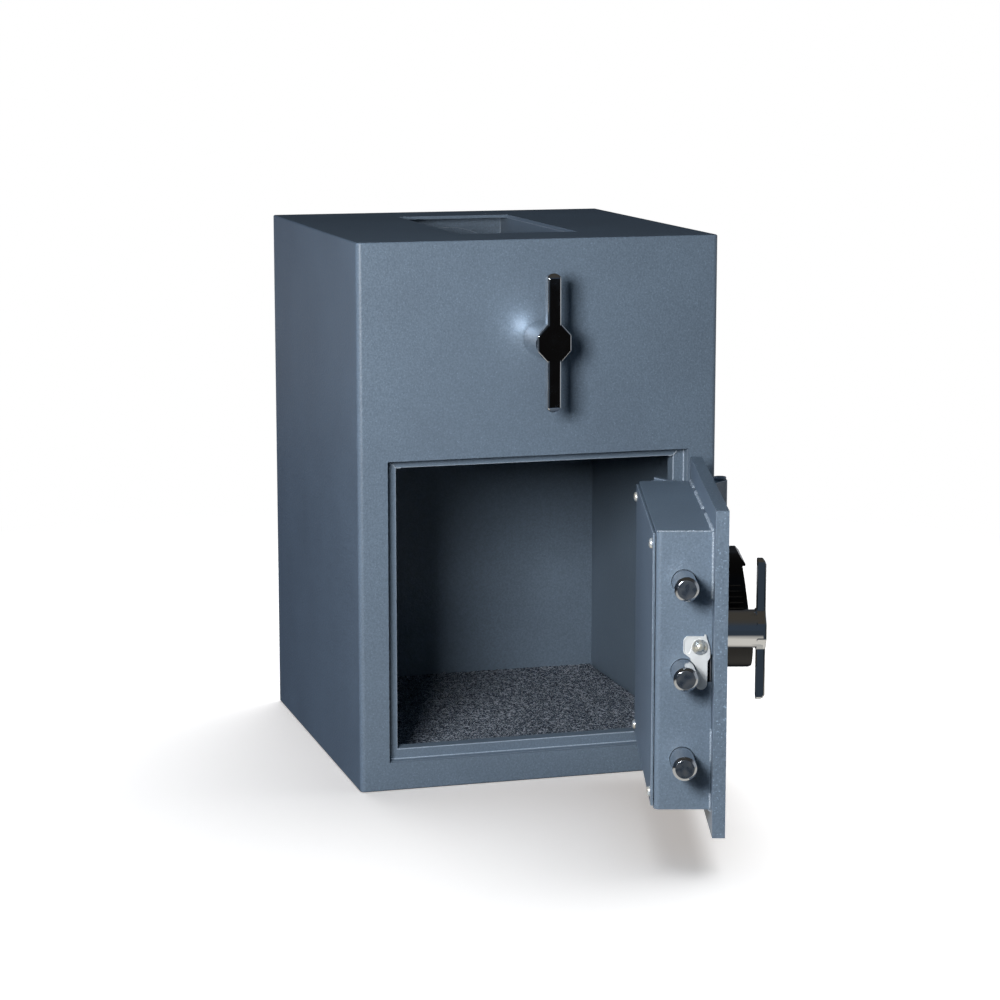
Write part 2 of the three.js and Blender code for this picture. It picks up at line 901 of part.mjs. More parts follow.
function bolt(z) {
  const length = barLeft - seat - boltEnd;
  const profile = [
    [0, 0],
    [boltRadius - boltChamfer, 0],
    [boltRadius, boltChamfer],
    [boltRadius, length],
    [0, length],
  ].map(([r, y]) => new THREE.Vector2(r, y));
  const geometry = new THREE.LatheGeometry(profile, plainSides);
  return solid(geometry.rotateZ(-Math.PI / 2).translate(boltEnd, boltY, z));
}
for (const [name, z] of Object.entries(boltHeights)) {
  place(door, `bolt_${name}`, bolt(z), chrome);
}
const barFront = boltY - barDepth / 2;
const boltBar = block(
  barLeft,
  barRight,
  barFront,
  barFront + barDepth,
  boltHeights.lower - barOverhang,
  boltHeights.upper + barOverhang,
);
place(door, "bolt_bar", boltBar, bareSteel);

// Drag plate: carries the bar, the crank's slot and the strip that the lock blocks

const lockBoltLeft = lockX - lockBoltWidth / 2;
const stripEnd = lockBoltLeft - lockShoulderGap;
const stripTop = stripBase + stripHeight;
const guideX = handleX + guideFromCrank;
const guideZ = stripBase + stripHeight / 2;
const slotHalf = crankPinRadius + crankPinPlay;

function dragPlate() {
  const y1 = barFront - seat;
  const y0 = y1 - dragSheet;
  const columnRight = barLeft + dragWidth;
  const yokeBase = pinZ - slotHalf - yokeWeb;
  const yokeRight = pinX + slotHalf + yokeWeb;
  const outline = polygon([
    [barLeft, boltHeights.lower - barOverhang],
    [columnRight, boltHeights.lower - barOverhang],
    [columnRight, yokeBase],
    [yokeRight, yokeBase],
    [yokeRight, stripBase],
    [stripEnd, stripBase],
    [stripEnd, stripTop],
    [columnRight, stripTop],
    [columnRight, boltHeights.upper + barOverhang],
    [barLeft, boltHeights.upper + barOverhang],
  ]);
  const pinSlot = roundedRectangle(
    pinX - slotHalf,
    pinX + slotHalf,
    pinZ - slotHalf,
    handleHeight + crankRadius + slotHalf,
    slotHalf,
  );
  const guideHalf = guidePostRadius + seat;
  const guideSlot = roundedRectangle(
    guideX - boltTravel - guideHalf,
    guideX + guideHalf,
    guideZ - guideHalf,
    guideZ + guideHalf,
    guideHalf,
  );
  return cut(
    wall(outline, y0, y1),
    wall(pinSlot, y0 - overcut, y1 + overcut),
    wall(guideSlot, y0 - overcut, y1 + overcut),
  );
}
place(door, "drag_plate", dragPlate(), bareSteel);

const postHead = barFront + seat;
const guidePost = join(
  rodY(guidePostRadius, plateInner + seat, postHead + seat, guideX, guideZ),
  rodY(guideHeadRadius, postHead, postHead + guideHeadDepth, guideX, guideZ),
);
place(door, "guide_post", guidePost, zinc);

// Crank: a disc on the handle's spindle, with the pin that works the drag plate

const doorHandleBase = frontFace - handleStandoff;
const discFront = plateInner + crankGap;
const discBack = discFront + crankDiscDepth;
const crank = join(
  rodY(spindleRadius, doorHandleBase - handleSocket, discBack, handleX, handleHeight),
  rodY(crankDiscRadius, discFront, discBack, handleX, handleHeight, fineSides),
  rodY(crankPinRadius, discFront, discBack + crankPinLength, pinX, pinZ),
);
place(door, "crank_spindle", crank, bareSteel);
place(door, "door_handle", tHandle(doorHandleBase, handleX, handleHeight, spindleRadius), chrome);

// Lock case and its bolt, which rises in front of the strip's end

const lockTop = stripBase - lockBelowStrip;
const lockBoltFront = plateInner + lockBoltSetback;
const lockBoltFoot = lockTop - lockBoltLength;

function lockBoltBlock(play, z0, z1) {
  return block(
    lockBoltLeft - play,
    lockBoltLeft + lockBoltWidth + play,
    lockBoltFront - play,
    lockBoltFront + lockBoltDepth + play,
    z0,
    z1,
  );
}
const lockBody = cut(
  block(
    lockX - lockWidth / 2,
    lockX + lockWidth / 2,
    plateInner + seat,
    plateInner + lockDepth,
    lockTop - lockHeight,
    lockTop,
  ),
  lockBoltBlock(keyPlay, lockBoltFoot - seat, lockTop + overcut),
);
place(door, "lock_body", lockBody, zinc);
place(door, "lock_bolt", lockBoltBlock(0, lockBoltFoot, lockTop), bareSteel);

// Detent lever on its rivet, beside the middle bolt, with its leaf spring in the slot behind it

const leverBack = boxFree - seat;
const leverFront = leverBack - leverSheet;

// Drawn from the rivet; its edge beside the middle bolt keeps an even gap to it
function leverOutline() {
  const shape = new THREE.Shape();
  shape.moveTo(-leverTailFront, leverTop);
  shape.lineTo(-leverShoulder, -leverTop);
  shape.lineTo(-leverTailFront, -leverTop - leverCorner);
  shape.lineTo(-leverTailFront, -leverFoot);
  shape.lineTo(0, -leverFoot);
  shape.lineTo(leverCorner, -leverFoot + leverCorner);
  shape.absarc(
    boltY - leverY,
    boltMiddleHeight - leverHeight,
    boltRadius + leverBoltGap,
    Math.PI,
    0.75 * Math.PI,
    true,
  );
  shape.lineTo(leverNose, -leverChin);
  shape.lineTo(leverNose, leverTop - leverCorner);
  shape.lineTo(leverNose - leverCorner, leverTop);
  return shape;
}
const leverArm = cheek(leverOutline(), leverFront, leverBack, plainSides);
const lever = cut(leverArm.translate([0, leverY, leverHeight]), rivetHole(leverFront, leverBack));
place(door, "detent_lever", lever, zinc);

const collarBack = leverFront - seat;
const collarFront = collarBack - rivetCollar;
const tailFront = boxFree + boxSheet + seat;
const rivet = join(
  rodX(rivetHeadRadius, collarFront - rivetHeadHeight, collarFront + seat, leverY, leverHeight),
  rodX(rivetCollarRadius, collarFront, collarBack, leverY, leverHeight),
  rodX(rivetRadius, collarFront, tailFront + seat, leverY, leverHeight, smallSides),
  rodX(rivetHeadRadius, tailFront, tailFront + rivetHeadHeight, leverY, leverHeight),
);
place(door, "lever_rivet", rivet, zinc);

const springMiddle = leverHeight - springSlotDrop;
const leverSpring = block(
  boxFree,
  boxFree + springDepth,
  boxFront,
  boxFront + springSheet,
  springMiddle - springSlotLength / 2 + seat,
  springMiddle + springSlotLength / 2 - seat,
);
place(door, "lever_spring", leverSpring, blackPlastic);

// Keypad housing with a sloping face and a visor; its lower end is a battery drawer

const padBase = frontFace - seat;
const drawerTop = keypadBottom + drawerHeight;
const tongueBack = padBase - drawerTongueSetback;

function faceDepth(z) {
  return keypadTopDepth + (keypadTop - z) * Math.tan(keypadSlope);
}

function keypadOutline() {
  return roundedRectangle(
    lockX - keypadWidth / 2,
    lockX + keypadWidth / 2,
    keypadBottom,
    keypadTop,
    keypadCorner,
  );
}

function tongueBlock(play) {
  return block(
    lockX - drawerTongueWidth / 2 - play,
    lockX + drawerTongueWidth / 2 + play,
    tongueBack - drawerTongueDepth - play,
    tongueBack + play,
    drawerTop - overcut,
    drawerTop + drawerTongueHeight + play,
  );
}

// A key's own frame has its face's middle as origin, Y pointing into the housing and Z up the slope.
function keyFrame(column, row) {
  const upSlope = ((keyRows - 1) / 2 - row) * keyPitchUp;
  const aside = (column - (keyColumns - 1) / 2) * keyPitchX;
  const z = keypadBottom + keyRowsAboveFoot + upSlope * Math.cos(keypadSlope);
  const frame = new THREE.Matrix4().makeRotationX(-keypadSlope);
  return frame.setPosition(lockX + aside, padBase - faceDepth(z), z);
}

function keyBlock(play, outward, inward) {
  const half = keyWidth / 2 + play;
  const tall = keyHeight / 2 + play;
  return block(-half, half, -outward, inward, -tall, tall);
}

const keyLegends = ["1", "2", "3", "4", "5", "6", "7", "8", "9", "clear", "0", "enter"];
const keyFrames = keyLegends.map((legend, i) =>
  keyFrame(i % keyColumns, Math.floor(i / keyColumns)),
);

function keypadHousing() {
  const z0 = drawerTop + seat;
  const visorFoot = keypadTop - visorHeight;
  const profile = polygon([
    [padBase, z0],
    [padBase - faceDepth(z0), z0],
    [padBase - faceDepth(visorFoot), visorFoot],
    [padBase - faceDepth(visorFoot) - visorProud, visorFoot],
    [padBase - faceDepth(visorFoot) - visorProud, visorFoot + visorLip],
    [padBase - keypadTopDepth, keypadTop],
    [padBase, keypadTop],
  ]);
  const faceEdge = padBase - faceDepth(keypadBottom) - visorProud;
  const body = cheek(profile, lockX - keypadWidth, lockX + keypadWidth);
  const outlined = body.intersect(wall(keypadOutline(), faceEdge, padBase));
  const pockets = keyFrames.map((frame) =>
    keyBlock(keyPlay, keyProud, keyPocket).transform(frame.elements),
  );
  return cut(outlined, tongueBlock(keyPlay), ...pockets);
}
place(door, "keypad_housing", keypadHousing(), blackPlastic);

const drawerFront = wall(keypadOutline(), padBase - drawerDepth, padBase);
const aboveDrawer = block(
  lockX - keypadWidth,
  lockX + keypadWidth,
  padBase - drawerDepth - overcut,
  padBase + overcut,
  drawerTop,
  keypadTop + overcut,
);
place(door, "battery_drawer", join(cut(drawerFront, aboveDrawer), tongueBlock(0)), blackPlastic);

keyLegends.forEach((legend, i) => {
  const key = keyBlock(0, keyProud, keySunk).transform(keyFrames[i].elements);
  place(door, `key_${legend}`, key, keyPlastic);
});

export default safe;
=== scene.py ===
import json
import math

import bmesh
import bpy
from mathutils import Matrix, Vector, noise


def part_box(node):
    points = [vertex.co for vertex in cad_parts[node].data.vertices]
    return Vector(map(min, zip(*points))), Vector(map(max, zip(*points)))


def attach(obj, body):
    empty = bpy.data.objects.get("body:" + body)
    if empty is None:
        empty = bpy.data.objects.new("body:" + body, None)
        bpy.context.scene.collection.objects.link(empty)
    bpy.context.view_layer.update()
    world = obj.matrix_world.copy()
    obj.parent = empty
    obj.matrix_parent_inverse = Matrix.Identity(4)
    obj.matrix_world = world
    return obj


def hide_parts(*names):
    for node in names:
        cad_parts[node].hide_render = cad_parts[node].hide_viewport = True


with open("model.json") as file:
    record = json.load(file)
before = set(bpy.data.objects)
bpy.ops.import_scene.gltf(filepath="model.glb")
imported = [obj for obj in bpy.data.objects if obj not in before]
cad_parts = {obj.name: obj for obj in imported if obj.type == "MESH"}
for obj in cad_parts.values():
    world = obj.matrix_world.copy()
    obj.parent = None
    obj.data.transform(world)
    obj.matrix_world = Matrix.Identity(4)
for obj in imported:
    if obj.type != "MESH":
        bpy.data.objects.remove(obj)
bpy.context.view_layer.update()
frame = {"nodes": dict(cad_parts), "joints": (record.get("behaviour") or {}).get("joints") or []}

# Camera
# It stands left of the safe, a little above it, and looks down over its top at the open door.
# A long lens keeps the cabinet's sides nearly parallel.
def add_object(name, data):
    """Adds an object to the scene."""
    added = bpy.data.objects.new(name, data)
    bpy.context.scene.collection.objects.link(added)
    return added


camera_place = Vector((-0.7436, -2.6174, 0.7102))
camera_turn = math.radians(16.154)
camera_drop = math.radians(9.889)
camera_lens = 100.55
camera = add_object("camera", bpy.data.cameras.new("camera"))
camera.data.lens = camera_lens
camera.data.sensor_width = 36
camera.data.clip_end = 50
camera.location = camera_place
camera.rotation_euler = (math.pi / 2 - camera_drop, 0, -camera_turn)
bpy.context.scene.camera = camera
bpy.context.scene.view_settings.view_transform = "Standard"


# Studio
# A white floor and backdrop, one large soft lamp in front on the left, weak ones round the other sides
# and a dim bluish room. The floor's soft shadow has a lamp of its own, which lights only the floor.
def linear(colour):
    """Turns an sRGB hex colour into the linear values that shaders take."""
    parts = [int(colour[i : i + 2], 16) / 255 for i in (1, 3, 5)]
    return [p / 12.92 if p <= 0.04045 else ((p + 0.055) / 1.055) ** 2.4 for p in parts] + [1]


def add_node(tree, kind, inputs=None, **settings):
    """Adds one node and its settings, and fills or links its inputs; a node gives its first output."""
    node = tree.nodes.new(kind)
    for name, value in settings.items():
        setattr(node, name, value)
    for socket, value in (inputs or {}).items():
        if isinstance(value, bpy.types.Node):
            value = value.outputs[0]
        if isinstance(value, bpy.types.NodeSocket):
            tree.links.new(value, node.inputs[socket])
        else:
            node.inputs[socket].default_value = value
    return node


def lamp(name, place, aim, power, width, height, colour="#ffffff"):
    """Adds a soft lamp that faces a point and that the camera doesn't see."""
    light = bpy.data.lights.new(name, "AREA")
    light.shape = "RECTANGLE"
    light.energy = power
    light.size = width
    light.size_y = height
    light.color = linear(colour)[:3]
    fixture = add_object(name, light)
    fixture.location = place
    fixture.rotation_euler = (Vector(aim) - Vector(place)).to_track_quat("-Z", "Y").to_euler()
    fixture.visible_camera = False
    return fixture


lamp_aim = (0, -0.15, 0.25)
key_power = 20
side_power = 13
far_power = 14
soft_lamps = [
    lamp("key_lamp", (-0.684, -1.197, 0.66), lamp_aim, key_power, 0.34, 0.34),
    lamp("side_lamp", (-2.5, 0.0, 0.6), lamp_aim, side_power, 0.9, 1.2, "#d2ddff"),
    lamp("right_lamp", (2.4, 0.3, 0.45), lamp_aim, far_power, 0.9, 0.8),
    lamp("back_lamp", (0.3, 2.6, 0.45), lamp_aim, far_power, 0.9, 0.8),
]

room_glow = 0.03
room_overhead = 0.24
room_front, room_backdrop, room_ceiling = (linear(c) for c in ("#3a4450", "#333539", "#47433d"))
room_card = linear("#b9bcc0")
backdrop_span = (0.1, 0.75)
ceiling_span = (0.3, 1.0)
card_span = (0.75, 0.95)
overhead_span = (0.3, 0.9)
plain_white = linear("#ffffff")


def graded(tree, value, span, first, second):
    """Turns softly from one colour to another as a value crosses a span."""
    inputs = {0: value, 1: span[0], 2: span[1]}
    share = add_node(tree, "ShaderNodeMapRange", inputs, interpolation_type="SMOOTHSTEP")
    mixed = add_node(tree, "ShaderNodeMix", {"Factor": share, 6: first, 7: second}, data_type="RGBA")
    return mixed.outputs[2]


def by_ray(tree, ray, shader, for_ray):
    """Gives rays of one kind a shader of their own."""
    path = add_node(tree, "ShaderNodeLightPath").outputs
    return add_node(tree, "ShaderNodeMixShader", {0: path[ray], 1: shader, 2: for_ray})


# The room as mirrors show it is dim and graded, and what it scatters on the safe is weaker still.
world = bpy.data.worlds.new("studio")
world.use_nodes = True
bpy.context.scene.world = world
tree = world.node_tree
tree.nodes.clear()
toward = add_node(tree, "ShaderNodeTexCoord").outputs["Generated"]
toward = add_node(tree, "ShaderNodeSeparateXYZ", {"Vector": toward}).outputs
around = graded(tree, toward["Y"], backdrop_span, room_front, room_backdrop)
around = graded(tree, toward["Z"], ceiling_span, around, room_ceiling)
around = graded(tree, toward["X"], card_span, around, room_card)
mirrored = add_node(tree, "ShaderNodeBackground", {"Color": around, "Strength": 1.0})
inputs = {0: toward["Z"], 1: overhead_span[0], 2: overhead_span[1], 3: room_glow, 4: room_overhead}
overhead = add_node(tree, "ShaderNodeMapRange", inputs, interpolation_type="SMOOTHSTEP")
scattered = add_node(tree, "ShaderNodeBackground", {"Color": linear("#c2e5ff"), "Strength": overhead})
white = add_node(tree, "ShaderNodeBackground", {"Color": plain_white, "Strength": 1.0})
room = by_ray(tree, "Is Glossy Ray", scattered, mirrored)
add_node(tree, "ShaderNodeOutputWorld", {"Surface": by_ray(tree, "Is Camera Ray", room, white)})

# White paper, shaded near the safe and plain white far off. Mirrors show it pale in front of the safe,
# with a dark flag laid on its front part and the room's backdrop behind.
floor_radius = 7.0
paper_light = 0.43
paper_fade = (0.75, 1.3)
paper_front = (-0.74, -0.5)
paper_back = (-0.38, -0.2)
paper_flag = (0.15, 0.5)
paper_right = (0.6, 1.1)
paper_slant = 0.6
paper_bounce = 0.03
paper_mirrored, paper_dark, paper_dim = (linear(c) for c in ("#e8e2d8", "#100f0f", "#38414b"))
bm = bmesh.new()
bmesh.ops.create_circle(bm, cap_ends=True, segments=96, radius=floor_radius)
floor_mesh = bpy.data.meshes.new("floor")
bm.to_mesh(floor_mesh)
bm.free()
floor = add_object("floor", floor_mesh)
paper = bpy.data.materials.new("white_paper_sweep")
paper.use_nodes = True
floor_mesh.materials.append(paper)
tree = paper.node_tree
tree.nodes.clear()
spot = add_node(tree, "ShaderNodeTexCoord").outputs["Object"]
away = add_node(tree, "ShaderNodeVectorMath", {0: spot}, operation="LENGTH").outputs["Value"]
inputs = {0: away, 1: paper_fade[0], 2: paper_fade[1]}
far_off = add_node(tree, "ShaderNodeMapRange", inputs, interpolation_type="SMOOTHSTEP")
shaded = add_node(tree, "ShaderNodeBsdfDiffuse", {"Color": linear("#f3f3f3")})
glow = add_node(tree, "ShaderNodeEmission", {"Color": linear("#fff7f1"), "Strength": paper_light})
near_paper = add_node(tree, "ShaderNodeAddShader", {0: shaded, 1: glow})
far_paper = add_node(tree, "ShaderNodeEmission", {"Color": plain_white, "Strength": 1.0})
seen_paper = add_node(tree, "ShaderNodeMixShader", {0: far_off, 1: near_paper, 2: far_paper})
place = add_node(tree, "ShaderNodeSeparateXYZ", {"Vector": spot}).outputs
inputs = {0: place["Y"], 1: paper_slant, 2: place["X"]}
slant = add_node(tree, "ShaderNodeMath", inputs, operation="MULTIPLY_ADD")
around = graded(tree, place["X"], paper_flag, paper_dim, paper_dark)
around = graded(tree, place["Y"], paper_front, around, paper_mirrored)
around = graded(tree, place["Y"], paper_back, around, room_backdrop)
around = graded(tree, slant, paper_right, around, room_card)
mirrored = add_node(tree, "ShaderNodeEmission", {"Color": around, "Strength": 1.0})
bounced = add_node(tree, "ShaderNodeEmission", {"Color": linear("#e4ecf6"), "Strength": paper_bounce})
lit = by_ray(tree, "Is Glossy Ray", bounced, mirrored)
add_node(tree, "ShaderNodeOutputMaterial", {"Surface": by_ray(tree, "Is Camera Ray", lit, seen_paper)})

# The soft lamps light all but the floor. The sun lights only the floor and draws the safe's shadow.
floor_only = bpy.data.collections.new("floor_only")
floor_only.objects.link(floor)
not_floor = bpy.data.collections.new("not_floor")
not_floor.objects.link(floor)
not_floor.collection_objects[0].light_linking.link_state = "EXCLUDE"
for soft_lamp in soft_lamps:
    soft_lamp.light_linking.receiver_collection = not_floor
for fill_lamp in soft_lamps[1:]:
    fill_lamp.visible_glossy = False
shadow_from = Vector((0.33, 0.46, 1.15))
shadow_spread = math.radians(60)
shadow_strength = 2.7
sun = bpy.data.lights.new("shadow_lamp", "SUN")
sun.angle = shadow_spread
sun.energy = shadow_strength
shadow_lamp = add_object("shadow_lamp", sun)
shadow_lamp.rotation_euler = (-shadow_from).to_track_quat("-Z", "Y").to_euler()
shadow_lamp.light_linking.receiver_collection = floor_only


# Cabinet shell
# One sheet of 3 mm steel bent round the front and sides, with a top, a base and a back welded in.
# The welds are ground flush before powder coating, so no seam shows from outside.
MM = 0.001
shell_sheet = 3
shell_bend = 5
shell_edge = 1.6
hem_edge = 0.7
doorway = ((-145, 26.5), (145, 308.5))
mouth = ((-57.5, -112), (57.5, 120))
drum_axis_height = 417
bush_hole = 12
anchor_radius = 6
anchor_places = [(x, y) for x in (-110.5, 110.5) for y in (-122, 122)]
coat_grain = 1.7
coat_colours = ("#5d6b7a", "#667686")
# Paler shades for the rounded edges: a painted highlight on a thin coat.
edge_highlight_colours = ("#8290a0", "#98a5b3")
coat_drift = 70
cut_past = 5
doorway_back = -170


def finish_material(name, colour, metallic=0.0, roughness=0.5, **sockets):
    """Starts a material with one shader and its plain values, and gives its tree and shader."""
    material = bpy.data.materials.new(name)
    material.use_nodes = True
    tree = material.node_tree
    shader = tree.nodes["Principled BSDF"]
    shader.inputs["Base Color"].default_value = linear(colour)
    shader.inputs["Metallic"].default_value = metallic
    shader.inputs["Roughness"].default_value = roughness
    for socket, value in sockets.items():
        shader.inputs[socket.replace("_", " ")].default_value = value
    return material, tree, shader


def mottled(tree, lump, detail=2.0, rough=0.5, span=(0.0, 1.0), ends=(0.0, 1.0)):
    """A patchy value, with lumps of a size in millimetres, stretched from a span to two ends."""
    spot = add_node(tree, "ShaderNodeTexCoord").outputs["Object"]
    inputs = {"Vector": spot, "Scale": 1 / (lump * MM), "Detail": detail, "Roughness": rough}
    patches = add_node(tree, "ShaderNodeTexNoise", inputs).outputs["Fac"]
    inputs = {0: patches, 1: span[0], 2: span[1], 3: ends[0], 4: ends[1]}
    return add_node(tree, "ShaderNodeMapRange", inputs).outputs["Result"]


def vary_gloss(tree, shader, lump, ends, detail=2.0, rough=0.5, span=(0.3, 0.7)):
    """Lets the roughness drift between two values in patches."""
    tree.links.new(mottled(tree, lump, detail, rough, span, ends), shader.inputs["Roughness"])


def tint(tree, shader, share, low, high):
    """Colours a surface between two colours by a share."""
    mixed = add_node(tree, "ShaderNodeMix", {"Factor": share, 6: low, 7: high}, data_type="RGBA")
    tree.links.new(mixed.outputs[2], shader.inputs["Base Color"])


def emboss(tree, shader, height, strength, depth):
    """Raises a pattern on a surface by a depth in millimetres."""
    inputs = {"Height": height, "Strength": strength, "Distance": depth * MM}
    tree.links.new(add_node(tree, "ShaderNodeBump", inputs).outputs[0], shader.inputs["Normal"])


def powder_coat(name, grain, height, flecks, colours=coat_colours, gloss=0.36):
    """Textured powder coat on steel: a fine leathery skin, matt, with a slow drift in its blue."""
    material, tree, shader = finish_material(name, colours[0])
    spot = add_node(tree, "ShaderNodeTexCoord").outputs["Object"]
    inputs = {"Vector": spot, "Scale": 1 / (grain * 1.3 * MM), "Smoothness": 0.6}
    cells = add_node(tree, "ShaderNodeTexVoronoi", inputs, feature="SMOOTH_F1").outputs["Distance"]
    low, high = (linear(c) for c in colours)
    inputs = {"Factor": mottled(tree, coat_drift, 1.0), 6: low, 7: high}
    body = add_node(tree, "ShaderNodeMix", inputs, data_type="RGBA").outputs[2]
    lift = mottled(tree, grain, 3.0, 0.6, (0.35, 0.72), (0.86, 1.14))
    spark = mottled(tree, grain * 0.7, 0.0, 0.5, (0.70, 0.80), (0.0, flecks))
    tone = add_node(tree, "ShaderNodeMath", {0: lift, 1: spark}, operation="ADD")
    toned = add_node(tree, "ShaderNodeVectorMath", {0: body, "Scale": tone}, operation="SCALE")
    tree.links.new(toned.outputs[0], shader.inputs["Base Color"])
    vary_gloss(tree, shader, grain, (gloss, gloss + 0.14), 3.0, 0.6)
    skin = mottled(tree, grain, 3.0, 0.6)
    relief = add_node(tree, "ShaderNodeMath", {0: skin, 1: cells}, operation="ADD")
    emboss(tree, shader, relief, 0.55, height)
    return material


# The coat lies even on sheet, coarse and sparkling on sawn edges, and thin and glossier on bends,
# where a paler colour paints the highlight that the bends catch.
paint = powder_coat("textured_powder_coat", coat_grain, 0.22, 0.25)
coarse_paint = powder_coat("coarse_powder_coat", coat_grain * 1.3, 0.4, 0.9)
edge_coat_and_highlight = powder_coat("thin_coat_with_painted_highlight_on_edges", coat_grain * 0.8, 0.2, 0.6, edge_highlight_colours, 0.24)


def solid(name, bm):
    """Turns a mesh drawn in millimetres into an object in metres."""
    bmesh.ops.scale(bm, vec=(MM, MM, MM), verts=bm.verts)
    bmesh.ops.recalc_face_normals(bm, faces=bm.faces)
    mesh = bpy.data.meshes.new(name)
    bm.to_mesh(mesh)
    bm.free()
    return add_object(name, mesh)


def block_mesh(low, high):
    """The mesh of a plain block between two corners, in millimetres."""
    low, high = Vector(low), Vector(high)
    bm = bmesh.new()
    bmesh.ops.create_cube(bm, size=1)
    bmesh.ops.scale(bm, vec=high - low, verts=bm.verts)
    bmesh.ops.translate(bm, vec=(low + high) / 2, verts=bm.verts)
    return bm


def block(name, low, high):
    """A plain block between two corners, in millimetres."""
    return solid(name, block_mesh(low, high))


axis_turns = {
    "X": Matrix.Rotation(math.pi / 2, 4, "Y"),
    "Y": Matrix.Rotation(-math.pi / 2, 4, "X"),
    "Z": Matrix.Identity(4),
}


def turned(name, profile, centre, axis, sides):
    """Turns a profile of (along, radius) points about an axis, with a UV of turns and profile length."""
    bm = bmesh.new()
    uv = bm.loops.layers.uv.new("profile")
    rings = []
    for along, radius in profile:
        count = sides if radius > 0 else 1
        ring = []
        for i in range(count):
            angle = 2 * math.pi * i / sides
            ring.append(bm.verts.new((radius * math.cos(angle), radius * math.sin(angle), along)))
        rings.append(ring)
    pairs = [(row, row + 1) for row in range(len(rings) - 1)]
    if profile[0][1] > 0:
        pairs.append((len(rings) - 1, 0))
    reach = [0.0]
    for a, b in pairs:
        reach.append(reach[-1] + math.dist(profile[a], profile[b]) * MM)
    for row, (a, b) in enumerate(pairs):
        for i in range(sides):
            j = (i + 1) % sides
            corners = [(rings[a], i, row), (rings[a], j, row)]
            corners += [(rings[b], j, row + 1), (rings[b], i, row + 1)]
            verts = []
            for ring, k, level in corners:
                vert = ring[k % len(ring)]
                if vert not in [v for v, _ in verts]:
                    turn = (i if k == i else i + 1) / sides
                    verts.append((vert, (turn, reach[level])))
            face = bm.faces.new([v for v, _ in verts])
            for loop, (_, place) in zip(face.loops, verts):
                loop[uv].uv = place
    bmesh.ops.transform(bm, matrix=Matrix.Translation(centre) @ axis_turns[axis], verts=bm.verts)
    return solid(name, bm)


def drill(radius, low, high, centre, axis, sides):
    """A round cutter from low to high along an axis."""
    return turned("drill", [(low, 0), (low, radius), (high, radius), (high, 0)], centre, axis, sides)


def plain_mesh(obj):
    """The mesh that an object's modifiers or its curve give."""
    bpy.context.view_layer.update()
    graph = bpy.context.evaluated_depsgraph_get()
    return bpy.data.meshes.new_from_object(obj.evaluated_get(graph))


def settle(piece):
    """Replaces a piece's modifiers by the mesh that they give."""
    mesh = plain_mesh(piece)
    piece.modifiers.clear()
    piece.data = mesh
    return piece


def combine(piece, operation, others):
    """Joins solids to a piece or cuts them from it, and removes them."""
    for other in others:
        step = piece.modifiers.new(operation.lower(), "BOOLEAN")
        step.operation = operation
        step.solver = "EXACT"
        step.object = other
    settle(piece)
    for other in others:
        bpy.data.objects.remove(other)
    return piece


def soften(piece, radius, steps=2, limit=40):
    """Rounds the sharp edges by a radius in millimetres and shades the rest smoothly."""
    # The second slot marks the rounded edges: a thin coat, painted paler as a highlight.
    while len(piece.data.materials) < 2:
        piece.data.materials.append(None)
    bm = bmesh.new()
    bm.from_mesh(piece.data)
    bmesh.ops.remove_doubles(bm, verts=bm.verts, dist=0.01 * MM)
    bmesh.ops.dissolve_limit(bm, angle_limit=math.radians(1), verts=bm.verts, edges=bm.edges)
    bm.to_mesh(piece.data)
    bm.free()
    piece.data.shade_smooth()
    edge = piece.modifiers.new("edge", "BEVEL")
    edge.width = radius * MM
    edge.segments = steps
    edge.limit_method = "ANGLE"
    edge.angle_limit = math.radians(limit)
    edge.material = 1
    flat = piece.modifiers.new("flat_faces", "WEIGHTED_NORMAL")
    flat.mode = "FACE_AREA"
    flat.weight = 100
    return settle(piece)


def copy_node(node, radius):
    """Copies a piece from the frame, merges it and rounds its edges by a radius in millimetres."""
    piece = add_object(node + "_finished", frame["nodes"][node].data.copy())
    piece.data.materials.clear()
    return soften(piece, radius)


def fit(piece, material, body, slot, *nodes):
    """Gives a finished piece its material and its body and hides the nodes that it stands for; slot is not
    used.
    """
    rounded = [face.material_index for face in piece.data.polygons]
    piece.data.materials.clear()
    piece.data.materials.append(material)
    if material == paint and max(rounded) > 0:
        piece.data.materials.append(edge_coat_and_highlight)
    else:
        rounded = [0] * len(rounded)
    piece.data.polygons.foreach_set("material_index", rounded)
    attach(piece, body)
    if nodes:
        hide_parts(*nodes)
    return piece


def dress(material, body, slot, **edges):
    """Finishes copies of pieces from the frame, each with its edge radius in millimetres."""
    for node, edge in edges.items():
        fit(copy_node(node, edge), material, body, slot, node)


shell_low = Vector(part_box("bottom_panel")[0]) / MM
shell_high = Vector(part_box("top_panel")[1]) / MM
bm = block_mesh(shell_low, shell_high)
uprights = [e for e in bm.edges if abs(e.verts[0].co.z - e.verts[1].co.z) > 1]
front_bends = [e for e in uprights if e.verts[0].co.y < 0]
back_welds = [e for e in uprights if e.verts[0].co.y > 0]
bmesh.ops.bevel(bm, geom=front_bends, offset=shell_bend, segments=5, profile=0.5, affect="EDGES")
bmesh.ops.bevel(bm, geom=back_welds, offset=shell_edge, segments=3, profile=0.5, affect="EDGES")
rims = [
    e
    for e in bm.edges
    if abs(e.verts[0].co.z - e.verts[1].co.z) < 0.01 and e.calc_face_angle(0) > math.radians(45)
]
bmesh.ops.bevel(bm, geom=rims, offset=shell_edge, segments=3, profile=0.5, affect="EDGES")
shell = solid("cabinet_shell", bm)
inside = Vector((shell_sheet,) * 3)
(door_left, door_foot), (door_right, door_top) = doorway
cuts = [
    block("cavity", shell_low + inside, shell_high - inside),
    block("doorway", (door_left, shell_low.y - cut_past, door_foot), (door_right, doorway_back, door_top)),
    block("mouth", (*mouth[0], shell_high.z - 2 * cut_past), (*mouth[1], shell_high.z + cut_past)),
    drill(bush_hole, -2 * cut_past, 2 * cut_past, (0, shell_low.y, drum_axis_height), "Y", 48),
]
